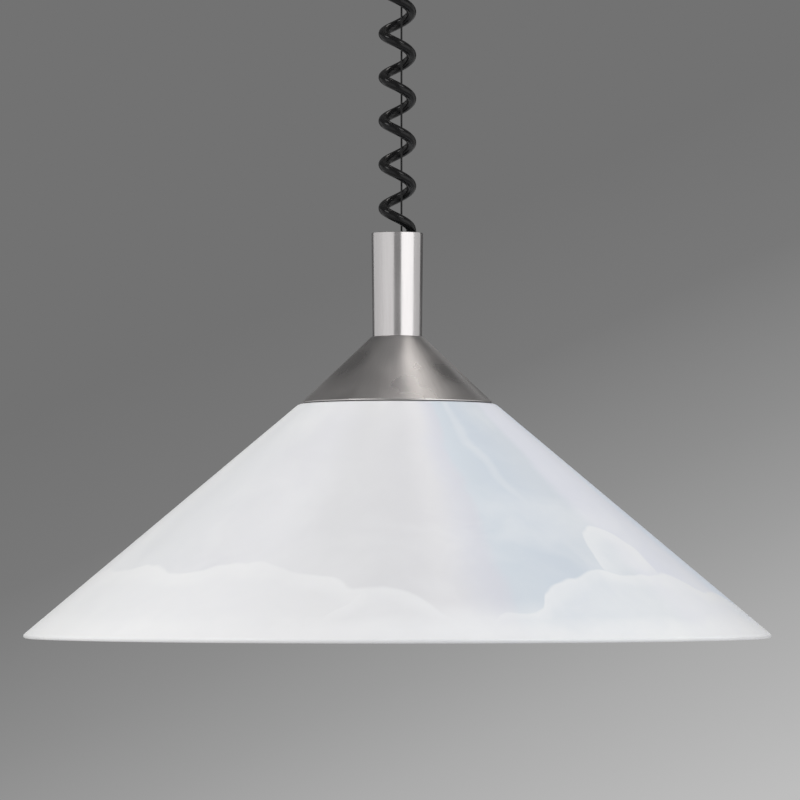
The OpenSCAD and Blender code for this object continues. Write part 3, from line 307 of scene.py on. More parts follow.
# %% [markdown]
# ## Finishes
# ### Brushed nickel
# The tube, the cone and the rose are nickel plated and brushed lengthwise, up the tube and up the cone's
# slope. The brush leaves fine lines, and a highlight smears square to them, which is round the piece. That is
# what anisotropy does, once its tangent runs round the axis. The cone is satin, and the tube is glossier. The
# lines are coarser than the real ones, so that they show.

# %% Brushed nickel
def brushed_metal(name, dark, pale, roughness, line_mm, anisotropy, smudge=0.25):
    """Metal brushed lengthwise. The lines are line_mm apart where the piece is 15 mm from the axis."""
    material, tree, shader, place = new_material(name)
    flat = add_node(tree, VECTOR_MATH, [place, (1, 1, 0)], "MULTIPLY")
    round_axis = add_node(tree, VECTOR_MATH, [flat], "NORMALIZE")
    strand = add_node(tree, VECTOR_MATH, [place, (0, 0, 0.8), round_axis], "MULTIPLY_ADD")
    lines = add_node(tree, NOISE, {"Vector": strand, "Scale": 15 / line_mm, "Detail": 3.0, "Roughness": 0.7})
    cloud = add_node(tree, NOISE, {"Vector": place, "Scale": 28.0, "Detail": 4.0})
    tint = add_node(tree, MIX, {"Factor": lines, "A": linear(dark), "B": linear(pale)}, **colours)
    gloss = add_node(tree, MAP_RANGE, {
        "Value": cloud, "From Min": 0.35, "From Max": 0.7, "To Min": roughness * (1 - smudge),
        "To Max": roughness * (1 + smudge)})
    tangent = add_node(tree, VECTOR_MATH, [UP, place], "CROSS_PRODUCT")
    tangent = add_node(tree, VECTOR_MATH, [tangent], "NORMALIZE")
    bump = add_node(tree, "ShaderNodeBump", {"Strength": 0.25, "Distance": 0.02 * MM, "Height": lines})
    set_inputs(tree, shader, {
        "Base Color": tint, "Roughness": gloss, "Tangent": tangent, "Normal": bump, "Metallic": 1.0,
        "Anisotropic": anisotropy})
    return material


brushed_nickel = brushed_metal("brushed_nickel", "#c4c1c1", "#d7d4d4", 0.18, 0.3, 0.5)
satin_nickel = brushed_metal("satin_nickel", "#bdbab9", "#d0cdcc", 0.33, 0.15, 0.4)

# %% [markdown]
# ### Plain metals
# The hidden hardware is bought in: zinc-plated pressings with a faint crystal spangle, bare steel with the
# direction of its rolling, and brass turned from bar. Colour, roughness and a fine pattern tell them apart.

# %% Zinc, steel, brass and sintered bronze
def plain_metal(name, dark, pale, roughness, grain_mm, stretch=(1, 1, 1), bump_mm=0.01):
    """Metal with grain of one size. The stretch draws the grain out along an axis."""
    material, tree, shader, place = new_material(name)
    laid = add_node(tree, "ShaderNodeMapping", {"Vector": place, "Scale": stretch})
    grain = add_node(tree, NOISE, {
        "Vector": laid, "Scale": 1 / (grain_mm * MM), "Detail": 4.0, "Roughness": 0.6})
    crystal = add_node(tree, "ShaderNodeTexVoronoi", {"Vector": place, "Scale": 0.35 / (grain_mm * MM)})
    both = add_node(tree, MIX, {0: 0.3, 2: grain, 3: crystal}, data_type="FLOAT")
    tint = add_node(tree, MIX, {"Factor": both, "A": linear(dark), "B": linear(pale)}, **colours)
    gloss = add_node(tree, MAP_RANGE, {"Value": grain, "To Min": roughness - 0.08, "To Max": roughness + 0.1})
    bump = add_node(tree, "ShaderNodeBump", {"Strength": 0.4, "Distance": bump_mm * MM, "Height": grain})
    set_inputs(tree, shader, {"Base Color": tint, "Roughness": gloss, "Normal": bump, "Metallic": 1.0})
    return material


zinc_plate = plain_metal("zinc_plate", "#9fa3a8", "#c3c7cb", 0.36, 0.9)
bare_steel = plain_metal("rolled_steel", "#8d8f92", "#adafb2", 0.34, 0.5, (1, 1, 0.15))
screw_steel = plain_metal("screw_steel", "#a7a9ac", "#c4c6c8", 0.28, 0.4)
spring_steel = plain_metal("tempered_spring_steel", "#54585f", "#7b8086", 0.3, 0.5, (1, 0.1, 1))
turned_brass = plain_metal("turned_brass", "#b8923f", "#d9b866", 0.27, 0.35)
sintered_bronze = plain_metal("sintered_bronze", "#8a6534", "#b08a52", 0.5, 0.25, bump_mm=0.03)
nickelled_brass = plain_metal("nickelled_brass", "#b9b4a8", "#d6d2c8", 0.22, 0.6)
print("metals ready")

# %% [markdown]
# ### Mouldings and rubber
# Lampholder, terminal block and reel are moulded plastic. The mould is spark-eroded, which leaves a skin of
# pits a few tenths of a millimetre across. The gaskets are silicone, and the porcelain is glazed, so it gets
# a clear coat over a faintly speckled body.

# %% Mouldings, rubber and porcelain
def moulded(name, dark, pale, roughness, pit_mm, pit_depth_mm, coat=0.0):
    """Moulded or fired material: a mottled body colour under a pitted skin."""
    material, tree, shader, place = new_material(name)
    cloud = add_node(tree, NOISE, {"Vector": place, "Scale": 90.0, "Detail": 4.0})
    tint = add_node(tree, MIX, {"Factor": cloud, "A": linear(dark), "B": linear(pale)}, **colours)
    pits = add_node(tree, NOISE, {"Vector": place, "Scale": 1 / (pit_mm * MM), "Detail": 2.0})
    bump = add_node(tree, "ShaderNodeBump", {"Strength": 0.5, "Distance": pit_depth_mm * MM, "Height": pits})
    gloss = add_node(tree, MAP_RANGE, {"Value": cloud, "To Min": roughness - 0.05, "To Max": roughness + 0.07})
    set_inputs(tree, shader, {
        "Base Color": tint, "Roughness": gloss, "Normal": bump, "Coat Weight": coat, "Coat Roughness": 0.08})
    return material


white_moulding = moulded("white_polyester_moulding", "#dcd9cf", "#e8e5dc", 0.42, 0.25, 0.02)
reel_moulding = moulded("ivory_nylon_moulding", "#d9d2bd", "#e6e0cd", 0.45, 0.3, 0.02)
black_moulding = moulded("black_nylon_moulding", "#161617", "#212123", 0.42, 0.3, 0.03)
silicone = moulded("silicone_gasket", "#cfccc4", "#dad8d1", 0.6, 0.4, 0.03)
glazed_porcelain = moulded("glazed_porcelain", "#e6e3da", "#f1efe8", 0.35, 0.5, 0.03, coat=0.8)

# %% [markdown]
# ### Flex
# The curly cord is extruded black PVC with a glossy skin. It looks nearly black, and only the streak that
# each curl picks up from a soft box shows its roundness, so its gloss matters more than its colour. A
# little dust greys the upper side of each curl. The wire's nylon coat is duller. The cores' insulation is the
# same stuff in brown, blue and striped green and yellow. The stripe follows the core, so it is painted by the
# tube's own UV map.

# %% Black flex and coloured cores
def extruded(name, dark, pale, roughness, dust=0.0, sheen=0.5, grain=0.3):
    """Extruded plastic skin with a faint grain, and dust where it faces up."""
    material, tree, shader, place = new_material(name)
    cloud = add_node(tree, NOISE, {"Vector": place, "Scale": 220.0, "Detail": 5.0})
    tint = add_node(tree, MIX, {"Factor": cloud, "A": linear(dark), "B": linear(pale)}, **colours)
    facing = add_node(tree, "ShaderNodeSeparateXYZ", {
        "Vector": add_node(tree, "ShaderNodeNewGeometry").outputs["Normal"]})
    settled = add_node(tree, MAP_RANGE, {
        "Value": facing.outputs["Z"], "From Min": 0.2, "From Max": 1.0, "To Min": 0.0, "To Max": dust})
    dusty = add_node(tree, MIX, {"Factor": settled, "A": tint, "B": linear("#6d6a66")}, **colours)
    skin = add_node(tree, NOISE, {"Vector": place, "Scale": 1400.0, "Detail": 2.0})
    bump = add_node(tree, "ShaderNodeBump", {"Strength": grain, "Distance": 0.02 * MM, "Height": skin})
    gloss = add_node(tree, MAP_RANGE, {"Value": cloud, "To Min": roughness - 0.06, "To Max": roughness + 0.08})
    set_inputs(tree, shader, {
        "Base Color": dusty, "Normal": bump, "Specular IOR Level": sheen, "Roughness": gloss})
    return material


black_flex = extruded("black_pvc_flex", "#0f0f10", "#161617", 0.19, dust=0.03, sheen=0.2, grain=0.08)
coated_wire = extruded("nylon_coated_wire", "#0f0f10", "#161617", 0.3, sheen=0.25)
brown_core = extruded("brown_insulation", "#55321b", "#6a4226", 0.35)
blue_core = extruded("blue_insulation", "#2457a0", "#3069b8", 0.35)

striped_core, tree, shader, place = new_material("green_yellow_insulation")
chart = add_node(tree, "ShaderNodeUVMap", uv_map="UVMap")
around = add_node(tree, "ShaderNodeSeparateXYZ", {"Vector": chart.outputs["UV"]})
stripe = add_node(tree, MATH, [around.outputs["X"], 0.62], "GREATER_THAN")
worn = add_node(tree, NOISE, {"Vector": place, "Scale": 300.0, "Detail": 4.0})
green = add_node(tree, MIX, {"Factor": worn, "A": linear("#3f7d2f"), "B": linear("#4f9139")}, **colours)
paint = add_node(tree, MIX, {"Factor": stripe, "A": green, "B": linear("#d8c13a")}, **colours)
set_inputs(tree, shader, {"Base Color": paint, "Roughness": 0.38})

# %% [markdown]
# ### Alabaster glass
# The shade is opal glass, mouth blown in a mould, with a milk that was never stirred quite even. Seen from
# the front, three things make it: bands that run down the slope, warm white on the left and bluish on the
# right; a bank of denser white along the rim, whose upper edge rolls in lobes like a cloud's; and one thin
# pale thread between the bluish bands. Every lobe is brightest just inside its edge. All of it is laid out
# by the angle round the axis and the height, and then bent by a slow noise, so that nothing runs ruled. The
# bands and the milk are painted paler round the limbs, most at the left, as painted light.

# %% Bands and the rolling bank of the glass
# Tones of the bands round the axis, painted paler round the limbs, most at the left, as painted light
band_stops_with_painted_light = (
    (-180, "#dedfe1"), (-140, "#d5dbe2"), (-110, "#e2e3e5"), (-76, "#f7f8f9"), (-60, "#eaebed"),
    (-30, "#e4e4e7"), (-12, "#dddddf"), (8, "#d6d6d9"), (17, "#d0d2da"), (20.5, "#cdd5dd"), (31, "#ced6df"),
    (47, "#d5dbe2"), (53, "#e1e3eb"), (70, "#e3e5ed"), (79, "#e0e8f3"), (92, "#d9dee5"), (125, "#dfe0e2"),
    (150, "#d3dae1"), (180, "#dedfe1"))
# The milk's tones, whiter on the left, where the extra white is painted light
milk_stops_with_painted_light = (
    (-180, "#eeeeef"), (-80, "#fefefe"), (-50, "#f7f7f7"), (-15, "#ebebec"), (10, "#e6e7e9"), (45, "#f2f3f4"),
    (110, "#f1f1f2"), (180, "#eeeeef"))
bank_edge_mm = (
    (-180, -622), (-155, -608), (-130, -632), (-105, -618), (-90, -616), (-60, -614), (-40, -614),
    (-30, -611.5), (-15, -614.5), (-10, -620), (-6, -625), (-1, -626), (3, -631), (6, -637.5), (9, -643),
    (12, -644), (15, -640), (18.5, -637.5), (22, -637.5), (25, -629), (29, -622), (33, -618), (38.5, -614),
    (46, -617), (54, -617), (63, -621), (70, -627), (90, -633), (115, -612), (140, -626), (160, -610),
    (180, -622))
# Lobes that roll over the bank: angle and height of the middle, half width, and half height
lobes = ((-2, -651, 10.5, 25.5), (49.5, -610, 8.5, 20.5), (-120, -640, 20, 24), (133, -628, 15, 26))
edge_low, edge_high = -660, -580  # the heights, in mm, between which the bank's edge may lie
stir_reach = (0.014, 0.014, 0.014)

alabaster, tree, shader, place = new_material("alabaster_glass")
stir = add_node(tree, NOISE, {"Vector": place, "Scale": 26.0, "Detail": 2.0})
push = add_node(tree, VECTOR_MATH, [stir.outputs["Color"], (0.5, 0.5, 0.5)], "SUBTRACT")
bent = add_node(tree, VECTOR_MATH, [push, stir_reach, place], "MULTIPLY_ADD")
spot = add_node(tree, "ShaderNodeSeparateXYZ", {"Vector": bent})
front = add_node(tree, MATH, [spot.outputs["Y"], -1.0], "MULTIPLY")
around = add_node(tree, MATH, [spot.outputs["X"], front], "ARCTAN2")
angle = add_node(tree, MATH, [around], "DEGREES")
turn = add_node(tree, MAP_RANGE, {"Value": angle, "From Min": -180.0, "From Max": 180.0})
tones = []
for stops in (band_stops_with_painted_light, milk_stops_with_painted_light):
    bands = add_node(tree, "ShaderNodeValToRGB", {"Fac": turn})
    bands.color_ramp.interpolation = "EASE"
    bands.color_ramp.elements.remove(bands.color_ramp.elements[1])
    for degrees, tone in stops:
        elements = bands.color_ramp.elements
        stop = elements.new((degrees + 180) / 360) if degrees > -180 else elements[0]
        stop.color = linear(tone)
    tones.append(bands)
edge = add_node(tree, "ShaderNodeFloatCurve", {"Value": turn})
knots = edge.mapping.curves[0].points
edge_knots = [((degrees + 180) / 360, (height - edge_low) / (edge_high - edge_low))
              for degrees, height in bank_edge_mm]
knots[0].location, knots[1].location = edge_knots[0], edge_knots[-1]
for across, up in edge_knots[1:-1]:
    knots.new(across, up)
edge.mapping.update()
edge_z = add_node(tree, MAP_RANGE, {"Value": edge, "To Min": edge_low * MM, "To Max": edge_high * MM})
into = add_node(tree, MATH, [edge_z, spot.outputs["Z"]], "SUBTRACT")
forms = [(into, None)]
for middle, height, half_angle, half_height in lobes:
    aside = add_node(tree, MAP_RANGE, {
        "Value": angle, "From Min": middle, "From Max": middle + half_angle}, clamp=False)
    below = add_node(tree, MAP_RANGE, {
        "Value": spot.outputs["Z"], "From Min": height * MM, "From Max": (height + half_height) * MM},
        clamp=False)
    both = add_node(tree, "ShaderNodeCombineXYZ", {"X": aside, "Y": below})
    reach = add_node(tree, VECTOR_MATH, [both], "LENGTH")
    inside = add_node(tree, MATH, [reach, -half_height * MM, half_height * MM], "MULTIPLY_ADD")
    foot = add_node(tree, MAP_RANGE, {
        "Value": spot.outputs["Z"], "From Min": (height - 0.9 * half_height) * MM, "From Max": height * MM},
        **smooth)
    forms.append((inside, foot))

# %% Milk of the bank, thread and clouds
bank_density = ((0.06, 0.74), (0.13, 0.68), (0.3, 0.5), (0.6, 0.55), (1.0, 0.8))  # from the edge to 40 mm in
thread_top, thread_foot = -0.544, -0.608
thread_turn, thread_lean = 27.0, 12.0  # its angle at the top, and how much further round its foot is

for depth, foot in forms:
    share = add_node(tree, MAP_RANGE, {"Value": depth, "From Min": 0.0, "From Max": 0.04})
    density = add_node(tree, "ShaderNodeValToRGB", {"Fac": share})
    density.color_ramp.interpolation = "EASE"
    density.color_ramp.elements.remove(density.color_ramp.elements[1])
    density.color_ramp.elements[0].color = (0, 0, 0, 1)
    for position, value in bank_density:
        density.color_ramp.elements.new(position).color = (value, value, value, 1)
    if foot is None:
        milk = density
        continue
    faded = add_node(tree, MATH, [density, foot], "MULTIPLY")
    milk = add_node(tree, MATH, [milk, faded], "MAXIMUM")
rim = add_node(tree, MAP_RANGE, {
    "Value": spot.outputs["Z"], "From Min": -0.628, "From Max": -0.652, "To Max": 0.9}, **smooth)
milk = add_node(tree, MATH, [milk, rim], "MAXIMUM")
thread_run = add_node(tree, MAP_RANGE, {
    "Value": spot.outputs["Z"], "From Min": thread_top, "From Max": thread_foot})
thread_run = add_node(tree, MATH, [thread_run, 0.7], "POWER")
thread_at = add_node(tree, MATH, [thread_run, thread_lean, thread_turn], "MULTIPLY_ADD")
off_thread = add_node(tree, MATH, [angle, thread_at], "SUBTRACT")
off_thread = add_node(tree, MATH, [off_thread], "ABSOLUTE")
thread = add_node(tree, MAP_RANGE, {
    "Value": off_thread, "From Min": 0.3, "From Max": 3.4, "To Min": 0.26, "To Max": 0.0}, **smooth)
cloud = add_node(tree, NOISE, {
    "Vector": bent, "Scale": 14.0, "Detail": 3.0, "Roughness": 0.5, "Distortion": 0.6})
haze = add_node(tree, MAP_RANGE, {"Value": cloud, "From Min": 0.4, "From Max": 0.72, "To Max": 0.3}, **smooth)
blotch = add_node(tree, NOISE, {
    "Vector": bent, "Scale": 42.0, "Detail": 4.0, "Roughness": 0.55, "Distortion": 0.3})
fleck = add_node(tree, MAP_RANGE, {
    "Value": blotch, "From Min": 0.3, "From Max": 0.7, "To Min": -0.09, "To Max": 0.09})
veil = add_node(tree, MATH, [thread, haze], "MAXIMUM")
milk = add_node(tree, MATH, [milk, veil], "MAXIMUM")
milk = add_node(tree, MATH, [milk, fleck], "ADD", use_clamp=True)
body = add_node(tree, MIX, {"Factor": milk, "A": tones[0], "B": tones[1]}, **colours)
ripple = add_node(tree, NOISE, {"Vector": place, "Scale": 60.0, "Detail": 2.0})
bump = add_node(tree, "ShaderNodeBump", {"Strength": 0.15, "Distance": 0.2 * MM, "Height": ripple})
set_inputs(tree, shader, {
    "Base Color": body, "Roughness": 0.34, "IOR": 1.5, "Normal": bump, "Subsurface Weight": 0.12,
    "Subsurface Radius": (0.003, 0.003, 0.0033), "Subsurface Scale": 1.0})
print("finishes", len(bpy.data.materials))

# %% [markdown]
# ## Putting meshes in the scene
# Each piece that is made here becomes one object at the origin, with its place in its mesh. Faces that meet
# at more than 35 degrees (60 on leads, 50 on threads) keep a sharp edge, and all others are shaded smooth.

# %% Mesh helpers
def add_piece(name, mesh, material, sharp_deg=35.0):
    """Puts a mesh in the scene as one piece, in its material."""
    mesh.materials.clear()
    mesh.materials.append(material)
    mesh.shade_smooth()
    mesh.set_sharp_from_angle(angle=math.radians(sharp_deg))
    print(name, len(mesh.polygons), "faces")
    return new_object(name, mesh)


def declare(piece, body, node=None):
    """Says which body a piece rides on, and hides the CAD node that it stands for, if any."""
    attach(piece, body)
    if node:
        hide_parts(node)


def hang(piece, node):
    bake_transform(piece)
    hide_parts(node)


def new_tree(name, sizes):
    """An empty geometry tree with one named input for each size."""
    tree = bpy.data.node_groups.new(name, "GeometryNodeTree")
    for label, value in sizes.items():
        kind = "NodeSocketInt" if isinstance(value, int) else "NodeSocketFloat"
        tree.interface.new_socket(name=label, in_out="INPUT", socket_type=kind)
    tree.interface.new_socket(name="Geometry", in_out="OUTPUT", socket_type="NodeSocketGeometry")
    return tree, tree.nodes.new("NodeGroupInput").outputs


def close_tree(tree, geometry, material):
    """Ends a geometry tree with real geometry in its material."""
    real = add_node(tree, "GeometryNodeRealizeInstances", {"Geometry": geometry})
    done = add_node(tree, "GeometryNodeSetMaterial", {"Geometry": real, "Material": material})
    add_node(tree, "NodeGroupOutput", {"Geometry": done})


def grown(tree, sizes):
    """Runs a tree on a holder and gives the result as a plain mesh."""
    holder = new_object("holder", bpy.data.meshes.new("holder"))
    modifier = holder.modifiers.new("tree", "NODES")
    modifier.node_group = tree
    for item in tree.interface.items_tree:
        if item.in_out == "INPUT":
            modifier[item.identifier] = sizes[item.name]
    ready = holder.evaluated_get(bpy.context.evaluated_depsgraph_get())
    mesh = bpy.data.meshes.new_from_object(ready)
    holder.modifiers.clear()
    bpy.data.objects.remove(holder)
    return mesh


# %% [markdown]
# ## The curly cord
# Twelve left-handed curls stand between the bush in the rose and the disc in the tube. The curl follows a
# rule, so Geometry Nodes draw it: each point of a line goes to its angle and its depth. The depth starts
# and ends upright, because over the first and last 3 mm it follows a square root, which leaves a straight
# line without a kink.
# The skin starts a little above the bush's mouth, so that no gap opens there when the lamp swings.

# %% Curly cord tree
tucked = 2.2
curl_sizes = {
    "Curl Radius": curl_r * MM, "Pitch": curl_pitch * MM, "Turned Height": turned_h * MM,
    "Half Ease": curl_ease / 2 * MM, "Start": -(straight + tucked) * MM, "End": (turned_h + straight) * MM,
    "Level": (outlet_z - straight) * MM, "Cord Radius": cord_d / 2 * MM, "Rings": 541, "Sides": 20,
}
tree, size = new_tree("curly cord", curl_sizes)
line = add_node(tree, "GeometryNodeCurvePrimitiveLine")
points = add_node(tree, "GeometryNodeResampleCurve", {"Curve": line, "Count": size["Rings"]})
index = add_node(tree, "GeometryNodeInputIndex")
last = add_node(tree, MATH, [size["Rings"], 1.0], "SUBTRACT")
run = add_node(tree, MAP_RANGE, {
    "Value": index, "From Max": last, "To Min": size["Start"], "To Max": size["End"]})
turned = add_node(tree, "ShaderNodeClamp", {"Value": run, "Min": 0.0, "Max": size["Turned Height"]})
beyond = add_node(tree, MATH, [run, turned], "SUBTRACT")
left = add_node(tree, MATH, [size["Turned Height"], turned], "SUBTRACT")
twice = add_node(tree, MATH, [size["Half Ease"], 4.0], "MULTIPLY")
# Near an end, the depth is the root of twice the ease times the way from that end
roots = []
for way in (turned, left):
    near = add_node(tree, MATH, [way, size["Half Ease"]], "MINIMUM")
    part = add_node(tree, MATH, [near, twice], "MULTIPLY")
    roots.append(add_node(tree, MATH, [part], "SQRT"))
stop = add_node(tree, MATH, [size["Turned Height"], size["Half Ease"]], "SUBTRACT")
middle = add_node(tree, "ShaderNodeClamp", {"Value": turned, "Min": size["Half Ease"], "Max": stop})
depth = roots[0]
for sign, part in (("ADD", middle), ("SUBTRACT", roots[1]), ("ADD", size["Half Ease"]), ("ADD", beyond)):
    depth = add_node(tree, MATH, [depth, part], sign)
level = add_node(tree, MATH, [size["Level"], depth], "SUBTRACT")
turns = add_node(tree, MATH, [turned, size["Pitch"]], "DIVIDE")
angle = add_node(tree, MATH, [turns, math.tau], "MULTIPLY")
flat = []
for kind in ("COSINE", "SINE"):
    share = add_node(tree, MATH, [angle], kind)
    flat.append(add_node(tree, MATH, [share, size["Curl Radius"]], "MULTIPLY"))
spot = add_node(tree, "ShaderNodeCombineXYZ", flat + [level])
curled = add_node(tree, "GeometryNodeSetPosition", {"Geometry": points, "Position": spot})
ring = add_node(tree, "GeometryNodeCurvePrimitiveCircle", {
    "Resolution": size["Sides"], "Radius": size["Cord Radius"]})
skin = add_node(tree, "GeometryNodeCurveToMesh", {"Curve": curled, "Profile Curve": ring, "Fill Caps": True})
close_tree(tree, skin, black_flex)


curly_cord = add_piece("curly_cord_skin", grown(tree, curl_sizes), black_flex, 60)
hang(curly_cord, "curly_cord")

# %% [markdown]
# ## Leads
# The wire, the cord's tails and the cores follow listed points. A smooth curve through those points
# carries rings that turn as little as they can from one to the next, and a UV map goes round and along the
# lead, for the earth core's stripe.

# %% Leads through listed points
def smooth_route(points_mm, steps=6):
    """Points on a curve that goes through every given point."""
    pts = [Vector(p) for p in points_mm]
    pts = [2 * pts[0] - pts[1]] + pts + [2 * pts[-1] - pts[-2]]
    route = []
    for a, b, c, d in zip(pts, pts[1:], pts[2:], pts[3:]):
        for n in range(steps):
            t = n / steps
            route.append(0.5 * ((2 * b) + (c - a) * t + (2 * a - 5 * b + 4 * c - d) * t * t
                                + (3 * b - a - 3 * c + d) * t ** 3))
    return [p * MM for p in route + [pts[-2]]]


def tube_mesh(name, path, radius, sides=16):
    """A closed tube round a path in metres."""
    form = bmesh.new()
    chart = form.loops.layers.uv.new("UVMap")
    heading = (path[1] - path[0]).normalized()
    side = heading.orthogonal().normalized()
    rows, run = [], [0.0]
    for i, p in enumerate(path):
        ahead = (path[min(i + 1, len(path) - 1)] - path[max(i - 1, 0)]).normalized()
        side = (side - ahead * side.dot(ahead)).normalized()
        other = ahead.cross(side)
        angles = [math.tau * k / sides for k in range(sides)]
        rows.append([form.verts.new(p + radius * (math.cos(a) * side + math.sin(a) * other)) for a in angles])
        if i:
            run.append(run[-1] + (p - path[i - 1]).length)
    for i in range(len(rows) - 1):
        for k in range(sides):
            n = (k + 1) % sides
            face = form.faces.new((rows[i][k], rows[i][n], rows[i + 1][n], rows[i + 1][k]))
            corners = ((k, i), (k + 1, i), (k + 1, i + 1), (k, i + 1))
            for loop, (u, v) in zip(face.loops, corners):
                loop[chart].uv = (u / sides, run[v])
    form.faces.new(list(reversed(rows[0])))
    form.faces.new(rows[-1])
    return mesh_of(form, name)


def add_lead(node, points_mm, diameter, material, body, sides=16):
    """A smooth lead that stands for a CAD node."""
    lead = tube_mesh(node, smooth_route(points_mm), diameter / 2 * MM, sides)
    declare(add_piece(node + "_skin", lead, material, 60), body, node)


# %% The suspension wire, taut between the bush and the ferrule
disc_h, ferrule_h = 3, 6
wire_foot_z = entry_z - disc_h - ferrule_h + 1  # 1 mm up in the ferrule
wire_steps = 60
wire_path = [Vector((wire_x, 0, outlet_z + (wire_foot_z - outlet_z) * i / wire_steps)) * MM
             for i in range(wire_steps + 1)]
suspension_wire = add_piece("suspension_wire_skin", tube_mesh("wire", wire_path, wire_d / 2 * MM, 12),
                            coated_wire, 60)
hang(suspension_wire, "suspension_wire")

# %% Tails and cores in the rose
tail_end = (35.5, -17, -20)
core_d, spread = 2.2, 1.35
way_x, way_z = (25, 35, 45), -8.5
core_at = [(spread * math.cos(math.radians(90 + 120 * n)), spread * math.sin(math.radians(90 + 120 * n)))
           for n in range(3)]
upper_tail = [(cord_x, 0, outlet_z), (cord_x, 0, -75), (cord_x, 0, -67), (9.6, -0.6, -60), (13, -2.2, -53),
              (19, -5, -46.5), (26, -9, -40.5), (31.5, -12.8, -34), (34.6, -15.8, -27.5), (35.5, -17, -22.5),
              tail_end]
add_lead("cord_tail_upper", upper_tail, cord_d, black_flex, "ceiling_unit", sides=20)
for node, way, n, material, slot in (
        ("brown_core_upper", 0, 1, brown_core, "brown_insulation"),
        ("earth_core_upper", 1, 0, striped_core, "earth_insulation"),
        ("blue_core_upper", 2, 2, blue_core, "blue_insulation")):
    x0, y0 = tail_end[0] + core_at[n][0], tail_end[1] + core_at[n][1]
    route = [(x0, y0, tail_end[2] + 0.3), (x0, y0, tail_end[2] + 1.5),
             ((tail_end[0] + 2 * way_x[way]) / 3, tail_end[1] + 0.8, (tail_end[2] + way_z) / 2 + 1),
             (way_x[way], -14, way_z - 1), (way_x[way], -10.5, way_z), (way_x[way], -8, way_z),
             (way_x[way], -2, way_z)]
    add_lead(node, route, core_d, material, "ceiling_unit")
earth_x, earth_y = 9, 26
link_route = [(35, 2, way_z), (35, 8, way_z), (34.5, 12, way_z - 0.3), (32, 17, way_z - 0.5),
              (27.5, 21.5, way_z), (22.5, 24.5, -6.4), (earth_x + 11.5, earth_y, -4.2),
              (earth_x + 9, earth_y, -3.8), (earth_x + 5.6, earth_y, -3.8)]
add_lead("earth_link", link_route, core_d, striped_core, "ceiling_unit")

# %% Tail and cores in the lamp
drops = [0, 11, 15, 19, 23, 27, 31, 35, 39, 43]
lower_tail = [(cord_x * (1 + math.cos(math.pi * max(0, min(1, (d - 11) / 32)))) / 2, 0, entry_z - d)
              for d in drops]
lower_tail += [(0, 0, rod_top_z + 1), (0, 0, (rod_top_z + sheath_end_z) / 2), (0, 0, sheath_end_z)]
add_lead("cord_tail_lower", lower_tail, cord_d, black_flex, "lamp", sides=20)
for node, side, n, material, slot in (("brown_core_lower", -1, 1, brown_core, "brown_insulation"),
                                      ("blue_core_lower", 1, 2, blue_core, "blue_insulation")):
    x0, y0 = core_at[n]
    route = [(x0, y0, sheath_end_z - 0.3), (x0, y0, sheath_end_z - 1.5),
             (side * 3.4, y0 * 0.8, sheath_end_z - 5), (side * 6.2, y0 * 0.4, sheath_end_z - 8),
             (side * 8, 0, sheath_end_z - 11.5), (side * 8, 0, shoulder_z + 6), (side * 8, 0, shoulder_z + 2)]
    add_lead(node, route, core_d, material, "lamp")
hole_y, clamp_z = 14.7, cap_top_z - 16
earth_route = [(0, spread, sheath_end_z - 0.3), (0, spread, sheath_end_z - 1.5),
               (0, spread + 2.6, sheath_end_z - 3.6), (0, spread + 7.4, sheath_end_z - 3.6),
               (0, hole_y - 1.2, sheath_end_z - 4.2), (0, hole_y, sheath_end_z - 6), (0, hole_y, clamp_z - 1.5)]
add_lead("earth_core_lower", earth_route, core_d, striped_core, "lamp")

# %% [markdown]
# ## The wire on the reel
# The wire leaves the fixed stretch, lies in 4.25 turns side by side on the reel, and ends in a ferrule.

# %% Wound wire
wind_turns, wind_rings, wind_pitch = 4.25, 48, 1.8
wind = []
for n in range(int(wind_turns * wind_rings) + 1):
    a = math.tau * n / wind_rings
    wind.append(Vector((reel_x + reel_r * math.cos(a), -wind_pitch * n / wind_rings,
                        reel_z + reel_r * math.sin(a))))
wind = [wind[0] - 7 * UP, wind[0] - 3.5 * UP] + wind + [wind[-1] - Vector((3, 0, 0))]
wound_wire = add_piece("wound_wire_skin", tube_mesh("wound", [p * MM for p in wind], wire_d / 2 * MM, 10),
                       coated_wire, 60)
declare(wound_wire, "drum", "wound_wire")

# %% [markdown]
# ## Turned and blown shells
# Glass, cone and tube are round about the lamp's axis. CAD facets them by 2.5 to 4 degrees, which shows as
# flats in a sharp reflection. A profile turned round the axis in some 200 steps has none. The profiles are
# the source's own, with finer arcs. The glass is turned 0.01 mm shorter, to stay in the CAD's box. The tube's
# wall has a support ring just inside each end, so that the shading of its rounded edges stops there.

# %% Turn a profile round the axis
def turned_mesh(name, profile_mm, steps=256):
    """A closed profile of (radius, height) points, turned round the axis."""
    form = bmesh.new()
    rows = []
    for n in range(steps):
        a = math.tau * n / steps
        rows.append([form.verts.new((r * math.cos(a) * MM, r * math.sin(a) * MM, z * MM))
                     for r, z in profile_mm])
    for n in range(steps):
        here, after = rows[n], rows[(n + 1) % steps]
        for k in range(len(profile_mm)):
            m = (k + 1) % len(profile_mm)
            form.faces.new((here[k], here[m], after[m], after[k]))
    bmesh.ops.recalc_face_normals(form, faces=form.faces)
    return mesh_of(form, name)


def arc(centre, radius, start_deg, end_deg, steps):
    """Points on an arc. Angles turn from straight up towards the outside."""
    angles = [math.radians(start_deg + (end_deg - start_deg) * n / steps) for n in range(steps + 1)]
    return [(centre[0] + radius * math.sin(a), centre[1] + radius * math.cos(a)) for a in angles]


